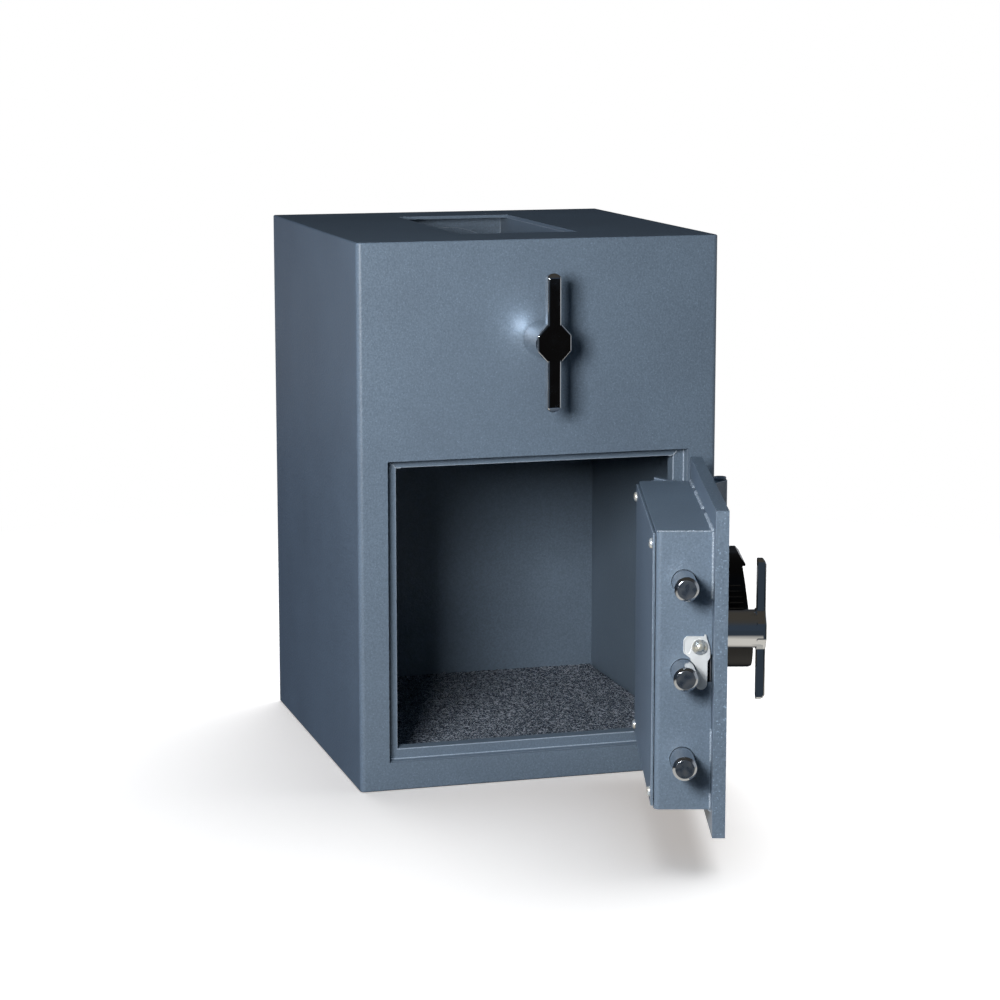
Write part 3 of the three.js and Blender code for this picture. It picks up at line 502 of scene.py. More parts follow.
for x, y in anchor_places:
    cuts.append(drill(anchor_radius, -cut_past, shell_sheet + cut_past, (x, y, 0), "Z", 32))
combine(shell, "DIFFERENCE", cuts)
soften(shell, hem_edge, 2, 50)
fit(shell, paint, "case", "powder_coat", "cabinet_wrap", "top_panel", "bottom_panel", "back_panel")


# Door frame, raised floor, throat and rear bearing plate
# Folded and cut steel sheet, welded inside the cabinet and coated with it; the frame's lip stops the
# door, and its folded edges catch the light.
dress(paint, "case", "powder_coat", door_frame=0.9, floor_pan=0.8, hopper_throat=0.5, rear_bearing_plate=0.5)


# Welds
# Short runs of arc weld left as they cooled: a lumpy bead, coated over with the rest. The coat is thin
# on the beads and painted paler there, a painted highlight for the light they catch.
# Paler than the coat: painted highlight on the beads.
bead_highlight_colours = ("#7c8996", "#97a2ad")
bead_ripple = 2.2
bead_step = 0.7
bead_sides = 10
bead_least = 0.45
bead_swell = 1.1
frame_corners = ((-134, 300.5), (134, 300.5))
frame_lip = -171.5
corner_bead = 4
thin_bead = 0.8
throat_corners = ((-59.6, 149.6), (59.6, 149.6))
throat_bead = (475, 503)
bead_coat_and_highlight = powder_coat("weld_coat_with_painted_highlight", coat_grain * 0.6, 0.35, 1.6, bead_highlight_colours, 0.2)


def geometry_tree(name, sockets):
    """Starts a tree of geometry nodes that has named inputs besides its geometry."""
    tree = bpy.data.node_groups.new(name, "GeometryNodeTree")
    tree.interface.new_socket("Geometry", in_out="INPUT", socket_type="NodeSocketGeometry")
    for label, kind in sockets.items():
        tree.interface.new_socket(label, in_out="INPUT", socket_type="NodeSocket" + kind)
    tree.interface.new_socket("Geometry", in_out="OUTPUT", socket_type="NodeSocketGeometry")
    return tree, tree.nodes.new("NodeGroupInput").outputs


def end_tree(tree, geometry, material):
    """Realizes the copies, gives them their material and ends the tree."""
    whole = add_node(tree, "GeometryNodeRealizeInstances", {0: geometry})
    painted = add_node(tree, "GeometryNodeSetMaterial", {"Geometry": whole, "Material": material})
    add_node(tree, "NodeGroupOutput", {0: painted})


def grow(piece, tree, values):
    """Runs a tree of geometry nodes on a piece and keeps the plain mesh that it gives."""
    step = piece.modifiers.new(tree.name, "NODES")
    step.node_group = tree
    for item in tree.interface.items_tree:
        if item.in_out == "INPUT" and item.name in values:
            step[item.identifier] = values[item.name]
    return settle(piece)


bead_tree, given = geometry_tree(
    "weld_bead",
    {"Bead radius": "Float", "Ripple length": "Float", "Step": "Float", "Bead material": "Material"},
)
path = add_node(bead_tree, "GeometryNodeMeshToCurve", {0: given["Geometry"]})
inputs = {"Curve": path, "Length": given["Step"]}
path = add_node(bead_tree, "GeometryNodeResampleCurve", inputs, mode="LENGTH")
scale = add_node(bead_tree, "ShaderNodeMath", {0: 1.0, 1: given["Ripple length"]}, operation="DIVIDE")
ripple = add_node(bead_tree, "ShaderNodeTexNoise", {"Scale": scale, "Detail": 2.0})
inputs = {0: ripple, 1: bead_swell, 2: bead_least}
swell = add_node(bead_tree, "ShaderNodeMath", inputs, operation="MULTIPLY_ADD")
width = add_node(bead_tree, "ShaderNodeMath", {0: swell, 1: given["Bead radius"]}, operation="MULTIPLY")
inputs = {"Resolution": bead_sides, "Radius": 1.0}
section = add_node(bead_tree, "GeometryNodeCurvePrimitiveCircle", inputs)
inputs = {"Curve": path, "Profile Curve": section, "Scale": width, "Fill Caps": True}
bead = add_node(bead_tree, "GeometryNodeCurveToMesh", inputs)
bead = add_node(bead_tree, "GeometryNodeSetShadeSmooth", {0: bead})
end_tree(bead_tree, bead, given["Bead material"])


def weld(name, runs, radius, body):
    """Lays weld beads, each from one point to another, coated with the rest."""
    bm = bmesh.new()
    for run in runs:
        bm.edges.new([bm.verts.new(point) for point in run])
    values = {
        "Bead radius": radius * MM,
        "Ripple length": bead_ripple * MM,
        "Step": bead_step * MM,
        "Bead material": bead_coat_and_highlight,
    }
    return fit(grow(solid(name, bm), bead_tree, values), bead_coat_and_highlight, body, "powder_coat")


corner_runs = []
for x, z in frame_corners:
    inward = -math.copysign(corner_bead, x)
    corner_runs.append([(x, frame_lip, z), (x - inward * 0.9, frame_lip, z + corner_bead)])
    corner_runs.append([(x + inward * 0.2, frame_lip, z + 0.4), (x + inward, frame_lip, z + 0.2)])
weld("frame_corner_welds", corner_runs, thin_bead, "case")
throat_runs = [[(x, y, z) for z in throat_bead] for x, y in throat_corners]
weld("throat_welds", throat_runs, thin_bead, "case")


# Carpet
# A loose mat of needle-punched polyester, which lies on the raised floor: dark lumps of felt that are
# flecked with paler fibres, some of them loose on top. It is matt all over.
carpet_step = 1.9
carpet_lump = 1.7
carpet_droop = 1.2
tuft_sizes = (4.2, 2.1)
carpet_low, carpet_high = (Vector(v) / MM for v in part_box("carpet_mat"))
carpet_colours = ("#191d23", "#505967", "#b4bfcc")
carpet, tree, shader = finish_material(
    "needle_punched_polyester", carpet_colours[1], roughness=1.0, Specular_IOR_Level=0.1
)
dark, middle, pale = (linear(c) for c in carpet_colours)
felt = mottled(tree, 2.0, 3.0, 0.7, (0.38, 0.62))
felt = add_node(tree, "ShaderNodeMix", {"Factor": felt, 6: dark, 7: middle}, data_type="RGBA").outputs[2]
tint(tree, shader, mottled(tree, 1.5, 2.0, 0.75, (0.52, 0.64)), felt, pale)
emboss(tree, shader, mottled(tree, 2.0, 3.0, 0.7), 0.8, 1.0)
bm = bmesh.new()
size = carpet_high - carpet_low
count_x, count_y = (round(length / carpet_step) for length in size.xy)
bmesh.ops.create_grid(bm, x_segments=count_x, y_segments=count_y, size=0.5)
bmesh.ops.scale(bm, vec=(size.x, size.y, 1), verts=bm.verts)
lower = bmesh.ops.extrude_face_region(bm, geom=list(bm.faces))["geom"]
for vert in (v for v in lower if isinstance(v, bmesh.types.BMVert)):
    vert.co.z = carpet_high.z
for vert in bm.verts:
    if vert.co.z < carpet_high.z:
        vert.co.z = carpet_low.z
    else:
        edge = min(size.x / 2 - abs(vert.co.x), size.y / 2 - abs(vert.co.y))
        lump = sum(noise.noise(vert.co / tuft) for tuft in tuft_sizes)
        vert.co.z -= carpet_lump * (1 - lump) / 2 + (carpet_droop if edge < 1 else 0)
bmesh.ops.translate(bm, vec=(carpet_low.xy + carpet_high.xy).to_3d() / 2, verts=bm.verts)
mat = solid("carpet_mat_finished", bm)
mat.data.shade_smooth()

fibre_density = 68000
fibre_length = 3.2
fibre_radius = 0.2
fibre_bed = 0.9
fibre_margin = 8
fibre_tilt = 0.5
fibre_scales = (0.5, 1.3)
fibre_tree, given = geometry_tree(
    "loose_fibres",
    {
        "Fibres per square metre": "Float",
        "Fibre length": "Float",
        "Fibre radius": "Float",
        "Fibre material": "Material",
    },
)
inputs = {"Mesh": given["Geometry"], "Density": given["Fibres per square metre"], "Seed": 4}
points = add_node(fibre_tree, "GeometryNodeDistributePointsOnFaces", inputs)
half, bow = (
    add_node(fibre_tree, "ShaderNodeMath", {0: given["Fibre length"], 1: share}, operation="MULTIPLY")
    for share in (0.5, 0.4)
)
ends = [
    add_node(fibre_tree, "ShaderNodeCombineXYZ", {"X": x, "Z": z})
    for x, z in ((0.0, 0.0), (half, bow), (given["Fibre length"], 0.0))
]
inputs = {"Resolution": 3, "Start": ends[0], "Middle": ends[1], "End": ends[2]}
strand = add_node(fibre_tree, "GeometryNodeCurveQuadraticBezier", inputs)
inputs = {"Resolution": 3, "Radius": given["Fibre radius"]}
section = add_node(fibre_tree, "GeometryNodeCurvePrimitiveCircle", inputs)
inputs = {"Curve": strand, "Profile Curve": section, "Fill Caps": True}
strand = add_node(fibre_tree, "GeometryNodeCurveToMesh", inputs)
inputs = {0: (-fibre_tilt, -fibre_tilt, 0.0), 1: (fibre_tilt, fibre_tilt, 2 * math.pi), "Seed": 7}
turn = add_node(fibre_tree, "FunctionNodeRandomValue", inputs, data_type="FLOAT_VECTOR")
inputs = {2: fibre_scales[0], 3: fibre_scales[1], "Seed": 9}
grade = add_node(fibre_tree, "FunctionNodeRandomValue", inputs, data_type="FLOAT").outputs[1]
inputs = {"Points": points, "Instance": strand, "Rotation": turn, "Scale": grade}
strands = add_node(fibre_tree, "GeometryNodeInstanceOnPoints", inputs)
end_tree(fibre_tree, strands, given["Fibre material"])
pale_fibre, tree, shader = finish_material("pale_polyester_fibre", "#7d848d", roughness=0.9)
tint(tree, shader, mottled(tree, 6.0, 1.0), linear("#535b68"), linear("#c2cad6"))
bm = bmesh.new()
bmesh.ops.create_grid(bm, x_segments=1, y_segments=1, size=0.5)
bmesh.ops.scale(bm, vec=(size.x - fibre_margin, size.y - fibre_margin, 1), verts=bm.verts)
bmesh.ops.translate(bm, vec=(0, 0, carpet_high.z - fibre_bed), verts=bm.verts)
fibre_values = {
    "Fibres per square metre": fibre_density,
    "Fibre length": fibre_length * MM,
    "Fibre radius": fibre_radius * MM,
    "Fibre material": pale_fibre,
}
fluff = grow(solid("carpet_fibres", bm), fibre_tree, fibre_values)
fit(fluff, pale_fibre, "case", "carpet")
fit(mat, carpet, "case", "carpet", "carpet_mat")


# Hopper drum
# A rolled steel shell, open on one side, between two welded end discs; bags drop in through the mouth
# and fall into the compartment when the drum is turned over.
dress(paint, "drum", "powder_coat", drum_shell=0.6, drum_front_disc=0.5, drum_rear_disc=0.5)


# Axles, stop cam and stud
# Turned from bright mild steel bar and left bare; the cam is flame cut, and its edge meets a stud
# pressed through the cabinet's front at each end of the half turn.
steel_colour = "#84878b"
steel_drift = 1.35
# Bare steel as the tool left it: fine lines, patches of oil and a soft metallic sheen.
cut_steel, tree, shader = finish_material("cut_mild_steel", steel_colour, 1.0, 0.42)
low = linear(steel_colour)
high = [v * steel_drift for v in low[:3]] + [1]
tint(tree, shader, mottled(tree, 9, 3.0), low, high)
vary_gloss(tree, shader, 9, (0.32, 0.54), 3.0)
emboss(tree, shader, mottled(tree, 0.5, 2.0, 0.7), 0.3, 0.05)
dress(cut_steel, "drum", "bare_steel", front_axle=0.5, rear_axle=0.5, stop_cam=0.4)
dress(cut_steel, "case", "bare_steel", stop_stud=0.4)


# Bushes
# Flanged bushes of sintered bronze, soaked in oil and pressed into the front and the rear plate. The
# metal is a dull brown with open pores.
bronze, tree, shader = finish_material("sintered_bronze", "#8a6a3c", 1.0, 0.45)
vary_gloss(tree, shader, 0.5, (0.32, 0.62), 2.0, 0.8)
emboss(tree, shader, mottled(tree, 0.5, 2.0, 0.8), 0.4, 0.06)
dress(bronze, "case", "bronze", front_bush=0.4, rear_bush=0.4)


# T-handles
# Zinc castings, polished and chrome plated: a round hub, an eight-sided boss and a cross arm, flush
# in front. The upper one turns the drum, the lower one draws the bolts.
handle_tip = -228
handle_foot = -185
handle_hub = 16.8
handle_boss_width = 31.8
handle_boss_height = 34.6
handle_boss_depth = 9
handle_arm_width = 13
handle_arm_depth = 7.5
handle_length = 126
handle_end_bow = 2.8
handle_end_slope = (4.6, 3.0, 1.3)
handle_edge = 1.3
handle_arm_edge = 1.9
handle_end_steps = 9
# A dark, sharp mirror with a faint waviness and a haze from hands.
chrome, tree, shader = finish_material("polished_chrome_plate", "#d3d6d9", 1.0, 0.06)
vary_gloss(tree, shader, 14, (0.03, 0.1), 3.0, 0.5, (0.35, 0.7))
emboss(tree, shader, mottled(tree, 9, 1.0), 0.12, 0.2)


def arc(centre, radius, start, end, steps):
    """Points on a circle from one angle to another, in degrees."""
    angles = (math.radians(start + (end - start) * i / steps) for i in range(steps + 1))
    return [(centre[0] + radius * math.cos(a), centre[1] + radius * math.sin(a)) for a in angles]


def extruded(name, outline, start, end, axis="Y"):
    """Pulls an outline of (x, z) points along Y, or one of (y, z) points along X."""
    bm = bmesh.new()
    rings = []
    for level in (start, end):
        ring = [(a, level, b) if axis == "Y" else (level, a, b) for a, b in outline]
        rings.append([bm.verts.new(point) for point in ring])
    front, back = rings
    bm.faces.new(front)
    bm.faces.new(back)
    for i, corner in enumerate(front):
        j = (i + 1) % len(front)
        bm.faces.new((corner, front[j], back[j], back[i]))
    return solid(name, bm)


def lofted(name, rings):
    """Skins a row of rings that have as many points each, and closes both ends."""
    bm = bmesh.new()
    rows = [[bm.verts.new(point) for point in ring] for ring in rings]
    for low, high in zip(rows, rows[1:]):
        for i, corner in enumerate(low):
            j = (i + 1) % len(low)
            bm.faces.new((corner, low[j], high[j], high[i]))
    bm.faces.new(rows[0])
    bm.faces.new(rows[-1])
    return solid(name, bm)


def handle_arm(name, x, z):
    """The cross arm: a bar with round front edges whose ends bow out and slope back."""
    half = handle_arm_width / 2
    bow_radius = (half**2 + handle_end_bow**2) / (2 * handle_end_bow)
    slope_length, slope_depth, slope_power = handle_end_slope
    levels = [slope_length * (i / handle_end_steps) ** 2 for i in range(handle_end_steps + 1)]
    stations = [-handle_length / 2 + e for e in levels] + [handle_length / 2 - e for e in reversed(levels)]
    rings = []
    for station in stations:
        inward = handle_length / 2 - abs(station)
        chord = bow_radius**2 - max(0, bow_radius - inward) ** 2 if inward < handle_end_bow else half**2
        width = max(0.25, math.sqrt(max(0, chord)))
        share = min(1, inward / slope_length)
        front = handle_tip + slope_depth * (1 - share) ** slope_power
        edge = min(handle_arm_edge, width * 0.6)
        ring = []
        for side, first in ((1, 0), (-1, 90)):
            for i in range(5):
                angle = math.radians(first + i * 22.5)
                across = x + side * (width - edge) + edge * math.cos(angle)
                ring.append((across, front + edge * (1 - math.sin(angle))))
        back = handle_tip + handle_arm_depth
        ring += [(x - width, back), (x + width, back)]
        rings.append([(a, b, z + station) for a, b in ring])
    return lofted(name, rings)


def t_handle(name, x, z):
    """A whole handle with its socket face on the hub, drawn about its axis."""
    corner = handle_boss_width / 2 / math.cos(math.pi / 8)
    reach = handle_foot - handle_tip
    oval = handle_boss_height / handle_boss_width
    eighths = [math.pi / 8 * (2 * i + 1) for i in range(8)]
    outline = [(x + corner * math.cos(a), z + corner * math.sin(a) * oval) for a in eighths]
    boss = extruded("boss", outline, handle_tip, handle_tip + handle_boss_depth)
    soften(boss, handle_edge, 4, 30)
    stem = [(3, 0), (3, handle_hub), (reach, handle_hub), (reach, 0)]
    hub = turned("hub", stem, (x, handle_tip, z), "Y", 96)
    piece = handle_arm(name, x, z)
    combine(piece, "UNION", [boss, hub])
    return soften(piece, 0.35, 2, 32)


fit(t_handle("hopper_handle_finished", 0, drum_axis_height), chrome, "drum", "chrome_plate", "hopper_handle")


# Light thrown by the handle
# The chrome hub throws a small bright patch on the paint beside it. The renderer finds such light too
# seldom, so one weak lamp close to the hub makes it; mirrors don't show the lamp.
glint_power = 0.0035
glint_size = 0.01
glint_place = (-0.0175, -0.1945, 0.4295)
glint_aim = (-0.026, -0.184, 0.436)
glint = lamp("handle_glint", glint_place, glint_aim, glint_power, glint_size, glint_size, "#f2f4f8")
glint.visible_glossy = False


# Door plate and hinges
# An 11 mm steel plate with sawn edges that the coat leaves coarse, on two welded barrel hinges with
# loose steel pins.
door_joint = next(j for j in frame["joints"] if j["name"] == "door_swing")
hinge_place = Vector(door_joint["pos_m"])
open_angle = -math.radians(door_joint["range_deg"][0])
swing_open = (
    Matrix.Translation(hinge_place) @ Matrix.Rotation(open_angle, 4, "Z") @ Matrix.Translation(-hinge_place)
)
plate_turn = swing_open.to_3x3()


def hang(piece):
    """Swings a piece that was drawn with the door shut to where the open door holds it."""
    piece.data.transform(swing_open)
    piece.data.update()
    return piece


plate = fit(copy_node("door_plate", 0.7), paint, "door", "powder_coat", "door_plate")
plate.data.materials.append(coarse_paint)
sawn_sides = [plate_turn @ Vector(side) for side in ((1, 0, 0), (0, 0, 1))]
for face in plate.data.polygons:
    if max(abs(face.normal.dot(side)) for side in sawn_sides) > 0.99:
        face.material_index = 2
dress(paint, "case", "powder_coat", upper_hinge_case_half=0.8, lower_hinge_case_half=0.8)
dress(paint, "door", "powder_coat", upper_hinge_door_half=0.8, lower_hinge_door_half=0.8)
dress(paint, "case", "bare_steel", upper_hinge_pin=0.5, lower_hinge_pin=0.5)


# Door handle
# The lower T-handle, cast and plated as the upper one is. Its spindle goes through the plate to the
# crank that draws the bolts.
door_handle_place = (-16.5, 180)
door_handle = hang(t_handle("door_handle_finished", *door_handle_place))
fit(door_handle, chrome, "handle", "chrome_plate", "door_handle")


# Bolt box, its cover and the dead bar
# A tray of 3 mm sheet with bent corners, welded to the plate over the bolt work and closed by a
# screwed cover; the dead bar on the hinge side hooks behind the frame when the door is shut.
bolt_depth = -148.5
bolt_heights = {"upper": 244, "middle": 168, "lower": 92}
liner_inner, liner_outer = 10.6, 11.4
liner_low, liner_high = -125.4, -121
box_left, box_right = -125.5, 126
box_foot, box_top = 48, 287
plate_inner = -173
seam = plate_inner + 0.5
bead_off = 0.2
bend_radius = 0.6
side_radius = 1.1
end_radius = 1.7
dress(paint, "door", "powder_coat", bolt_box=0.9, cover_plate=0.4, dead_bar=0.7)


def smooth(piece, limit):
    """Shades a piece smoothly but for edges sharper than a limit in degrees."""
    piece.data.shade_smooth()
    piece.data.set_sharp_from_angle(angle=math.radians(limit))
    return piece


def beads_up(x, spans):
    """Upright beads on the plate beside the box."""
    return [[(x, seam, start), (x, seam, end)] for start, end in spans]


def beads_across(z, spans):
    """Level beads on the plate above or below the box."""
    return [[(start, seam, z), (end, seam, z)] for start, end in spans]


ring = [(liner_low, radius) for radius in (liner_inner, liner_outer)]
ring += [(liner_high, radius) for radius in (liner_outer, liner_inner)]
for level, height in bolt_heights.items():
    liner = smooth(turned(f"bolt_hole_liner_{level}", ring, (0, bolt_depth, height), "X", 96), 30)
    fit(hang(liner), paint, "door", "powder_coat")
free_beads = beads_up(box_left - bead_off, ((286, 230), (118, 90), (62, 49)))
hinge_beads = beads_up(box_right + bead_off, ((286, 250), (186, 150), (84, 49)))
top_beads = beads_across(box_top + bead_off, ((-125, -48), (-20, 64), (88, 125)))
bottom_beads = beads_across(box_foot - bead_off, ((-125, -90), (-20, 20), (90, 125)))
bend_bead = [[(box_left + bead_off, y, box_top - bead_off) for y in (-172, -125.6)]]
hang(weld("box_corner_weld", bend_bead, bend_radius, "door"))
hang(weld("box_welds", free_beads + hinge_beads, side_radius, "door"))
hang(weld("box_end_welds", top_beads + bottom_beads, end_radius, "door"))


# Cover screws
# Four pan-head cross-recess screws, pressed from wire and bright plated, that hold the cover to the
# box. Each of them stopped at a turn of its own.
def bright_plate(name, colour, roughness, metallic=1.0):
    """Bright plate on pressed steel: silvery, slightly blue and yellow in patches."""
    material, tree, shader = finish_material(name, colour, metallic, roughness)
    tint(tree, shader, mottled(tree, 6, span=(0.4, 0.62)), linear("#b9c3cc"), linear("#d6d2c4"))
    vary_gloss(tree, shader, 6, (roughness - 0.08, roughness + 0.1))
    emboss(tree, shader, mottled(tree, 0.7), 0.2, 0.05)
    return material


zinc = bright_plate("bright_zinc_plate", "#c4c6c3", 0.24)
# Pale and half diffuse, so the whole head shows bright: a painted glint for the lamp's glare.
nickel_with_painted_glint = bright_plate("nickel_plate_with_painted_glint", "#d9d2c6", 0.3, 0.55)
screw_places = [(x, z) for x in (-113, 113.5) for z in (60.5, 274.5)]
screw_face = -122.5
screw_head_radius = 4.5
screw_head_height = 3
screw_dome = (0.55, 0.94)
screw_cross = (1.1, 4.6, 1.7)
screw_shank = 2.5
screw_length = 5
screw_turn = 1.5
dome_height, dome_radius = screw_head_height * screw_dome[0], screw_head_radius * screw_dome[1]
head_profile = [
    (dome_height * (1 - math.cos(a)) - screw_head_height, dome_radius * math.sin(a))
    for a in (math.pi / 2 * i / 8 for i in range(9))
]
head_profile += [
    (-0.6, screw_head_radius),
    (-0.1, screw_head_radius),
    (0, screw_head_radius - 0.3),
    (0, screw_shank),
    (screw_length, screw_shank),
    (screw_length + 0.6, 0),
]
head = turned("screw_head", head_profile, (0, 0, 0), "Y", 40)
slot_width, slot_length, slot_depth = screw_cross
bars = [
    block("slot", (-a / 2, -screw_head_height - 1, -b / 2), (a / 2, -screw_head_height + slot_depth, b / 2))
    for a, b in ((slot_width, slot_length), (slot_length, slot_width))
]
soften(combine(head, "DIFFERENCE", bars), 0.12, 2, 35)
head.data.transform(Matrix.Rotation(math.pi, 4, "Z"))
screw_tree, given = geometry_tree("screws", {"Screw": "Object", "Screw material": "Material"})
pattern = add_node(screw_tree, "GeometryNodeObjectInfo", {0: given["Screw"]}).outputs["Geometry"]
inputs = {0: (0.0, 0.0, 0.0), 1: (0.0, screw_turn, 0.0), "Seed": 3}
driven = add_node(screw_tree, "FunctionNodeRandomValue", inputs, data_type="FLOAT_VECTOR")
inputs = {"Points": given["Geometry"], "Instance": pattern, "Rotation": driven}
screws = add_node(screw_tree, "GeometryNodeInstanceOnPoints", inputs)
end_tree(screw_tree, screws, given["Screw material"])
bm = bmesh.new()
for x, z in screw_places:
    bm.verts.new((x, screw_face, z))
screw_values = {"Screw": head, "Screw material": nickel_with_painted_glint}
cover_screws = grow(solid("cover_screws_finished", bm), screw_tree, screw_values)
bpy.data.objects.remove(head)
corners = ("upper_free", "lower_free", "upper_hinge", "lower_hinge")
screw_nodes = [f"cover_screw_{corner}" for corner in corners]
fit(hang(cover_screws), nickel_with_painted_glint, "door", "zinc_plate", *screw_nodes)


# Bolts
# Three round bolts, turned from bright bar and chrome plated, with a chamfer and a face that still
# shows the rings of the lathe.
bolt_radius = 10.3
bolt_chamfer = 2.2
bolt_end = -159.5
bolt_root = -92.3
lathe_feed = 0.9
# Hard chrome is a grey mirror that the frame has rubbed a little dull.
bar_plate, tree, shader = finish_material("hard_chrome_plate", "#b9bec4", 1.0, 0.14)
vary_gloss(tree, shader, 3, (0.08, 0.22), 3.0)
# The faced end is bluish steel with stains and with the rings that the lathe's feed leaves.
faced, tree, shader = finish_material("faced_steel", "#8d949d", 1.0, 0.3)
place = add_node(tree, "ShaderNodeUVMap", uv_map="profile")
along = add_node(tree, "ShaderNodeSeparateXYZ", {"Vector": place}).outputs["Y"]
inputs = {0: along, 1: 2 * math.pi / (lathe_feed * MM)}
rings = add_node(tree, "ShaderNodeMath", inputs, operation="MULTIPLY")
wave = add_node(tree, "ShaderNodeMath", {0: rings}, operation="SINE")
tint(tree, shader, mottled(tree, 6, span=(0.35, 0.65)), linear("#98a3b0"), linear("#80848a"))
vary_gloss(tree, shader, 6, (0.24, 0.4), span=(0.35, 0.65))
emboss(tree, shader, wave, 0.2, 0.03)
bolt_profile = [
    (bolt_end, 0),
    (bolt_end, bolt_radius - bolt_chamfer - 0.25),
    (bolt_end + 0.1, bolt_radius - bolt_chamfer),
    (bolt_end + bolt_chamfer - 0.2, bolt_radius - 0.35),
    (bolt_end + bolt_chamfer + 0.4, bolt_radius),
    (bolt_root, bolt_radius),
    (bolt_root, 0),
]
end_normal = plate_turn @ Vector((-1, 0, 0))
for level, height in bolt_heights.items():
    bolt = turned(f"bolt_{level}_finished", bolt_profile, (0, bolt_depth, height), "X", 96)
    fit(smooth(hang(bolt), 20), bar_plate, "bolt_carriage", "chrome_plate", f"bolt_{level}")
    bolt.data.materials.append(faced)
    for face in bolt.data.polygons:
        if face.normal.dot(end_normal) > 0.95:
            face.material_index = 1


# Bolt carriage, guide and crank
# Laser-cut steel plate and bar that join the bolts, the post that guides them, and the disc on the
# handle's spindle whose pin drives them; the post is zinc plated, the rest bare and oiled.
dress(cut_steel, "bolt_carriage", "bare_steel", bolt_bar=0.4, drag_plate=0.4)
dress(cut_steel, "handle", "bare_steel", crank_spindle=0.4)
dress(cut_steel, "lock_bolt", "bare_steel", lock_bolt=0.4)
dress(zinc, "door", "zinc_plate", guide_post=0.5, lock_body=0.5)


# Detent lever
# A stamped, zinc-plated lever that is held against the middle bolt: a flat arm with a pressed panel and
# a small tab turned up at its shoulder.
lever_face = -127.8
lever_back = -125.8
lever_pivot = (-162.2, 189)
lever_panel = 0.4
bolt_gap = 10.9
# Plain zinc from the barrel: a milky silver, barely a mirror, with a very fine grain.
satin_zinc, tree, shader = finish_material("satin_zinc_plate", "#dfe2e3", 0.55, 0.5)
vary_gloss(tree, shader, 5, (0.42, 0.58))
emboss(tree, shader, mottled(tree, 0.8), 0.15, 0.04)
lever_outline = [
    *arc((-152.9, 193.5), 4.5, 0, 90, 6),
    (-165.9, 197.8),
    (-165.9, 199.4),
    (-167.4, 199.4),
    (-168.0, 195.7),
    (-170.0, 190),
    (-170.9, 184.9),
    (-170.9, 179.6),
    (-168.9, 176.6),
    *arc((-163.7, 157.2), 4.9, 180, 360, 12),
    *arc((bolt_depth, bolt_heights["middle"]), bolt_gap, 215, 125, 12),
    (-154, 179.6),
    *arc((-151.9, 185.5), 3.5, -70, 0, 5),
]
recess_outline = [
    *arc((-152.9, 193.2), 3.6, 0, 90, 6),
    (-160.4, 196.7),
    (-160.9, 195.2),
    (-156.2, 191.6),
    (-154.8, 186.4),
    (-153.6, 183.6),
    *arc((-151.9, 185.7), 2.6, -70, 0, 4),
]
lever = extruded("detent_lever_finished", lever_outline, lever_face, lever_back, axis="X")
recess = extruded("recess", recess_outline, lever_face - 1, lever_face + lever_panel, axis="X")
combine(lever, "DIFFERENCE", [recess])
soften(lever, 0.3, 3, 35)
fit(hang(lever), satin_zinc, "lever", "zinc_plate", "detent_lever")


# Lever rivet
# A shouldered rivet with a domed head on a turned collar, plated in a bluish zinc. It is pressed into
# the box, and the lever tips on it.
rivet_zinc = bright_plate("blue_zinc_plate", "#d7dde2", 0.28, 0.7)
rivet_head = 3.9
rivet_height = 2.6
rivet_shank = 2.2
rivet_end = -119.6
collar_radius = 6.6
collar_face = -128.9
collar_groove = 0.35
head_arc = [
    (collar_face - rivet_height * math.cos(a), rivet_head * math.sin(a))
    for a in (math.pi / 2 * i / 9 for i in range(10))
]
rivet_profile = head_arc + [
    (collar_face + collar_groove, rivet_head + 0.15),
    (collar_face + collar_groove, rivet_head + 0.75),
    (collar_face, rivet_head + 1.0),
    (collar_face, collar_radius - 0.25),
    (collar_face + 0.25, collar_radius),
    (lever_face - 0.3, collar_radius),
    (lever_face - 0.3, rivet_shank),
    (rivet_end, rivet_shank),
    (rivet_end, 0),
]
rivet = smooth(turned("lever_rivet_finished", rivet_profile, (0, *lever_pivot), "X", 64), 28)
fit(hang(rivet), rivet_zinc, "door", "zinc_plate", "lever_rivet")


# Leaf spring
# A blackened spring strip, folded in waves, that stands in a slot beside the lever and pushes it back
# against the bolt; its straight leaf shows a bright edge.
spring_low, spring_high = 158.7, 181.4
spring_x = (-125.4, -117.5)
spring_y = -169.2
wave_pitch = 3.3
wave_reach = 0.55
wave_steps = 56
waved_thickness = 0.9
leaf_y = (-171.8, -171.2)
# Tempered steel with a black oxide, darker and glossier where the oil lies.
blued, tree, shader = finish_material("blackened_spring_steel", "#17181b", 0.7, 0.35)
vary_gloss(tree, shader, 2, (0.22, 0.5))
levels = [spring_low + (spring_high - spring_low) * i / wave_steps for i in range(wave_steps + 1)]
strip = [(spring_y + wave_reach * math.sin(2 * math.pi * z / wave_pitch), z) for z in levels]
outline = [(y - waved_thickness / 2, z) for y, z in strip]
outline += [(y + waved_thickness / 2, z) for y, z in reversed(strip)]
waves = smooth(extruded("lever_spring_finished", outline, *spring_x, axis="X"), 40)
fit(hang(waves), blued, "door", "black_spring_steel", "lever_spring")
leaf_low, leaf_high = zip(spring_x, leaf_y, (spring_low, spring_high))
leaf = soften(block("lever_spring_leaf", leaf_low, leaf_high), 0.1, 2, 40)
fit(hang(leaf), cut_steel, "door", "bare_steel")


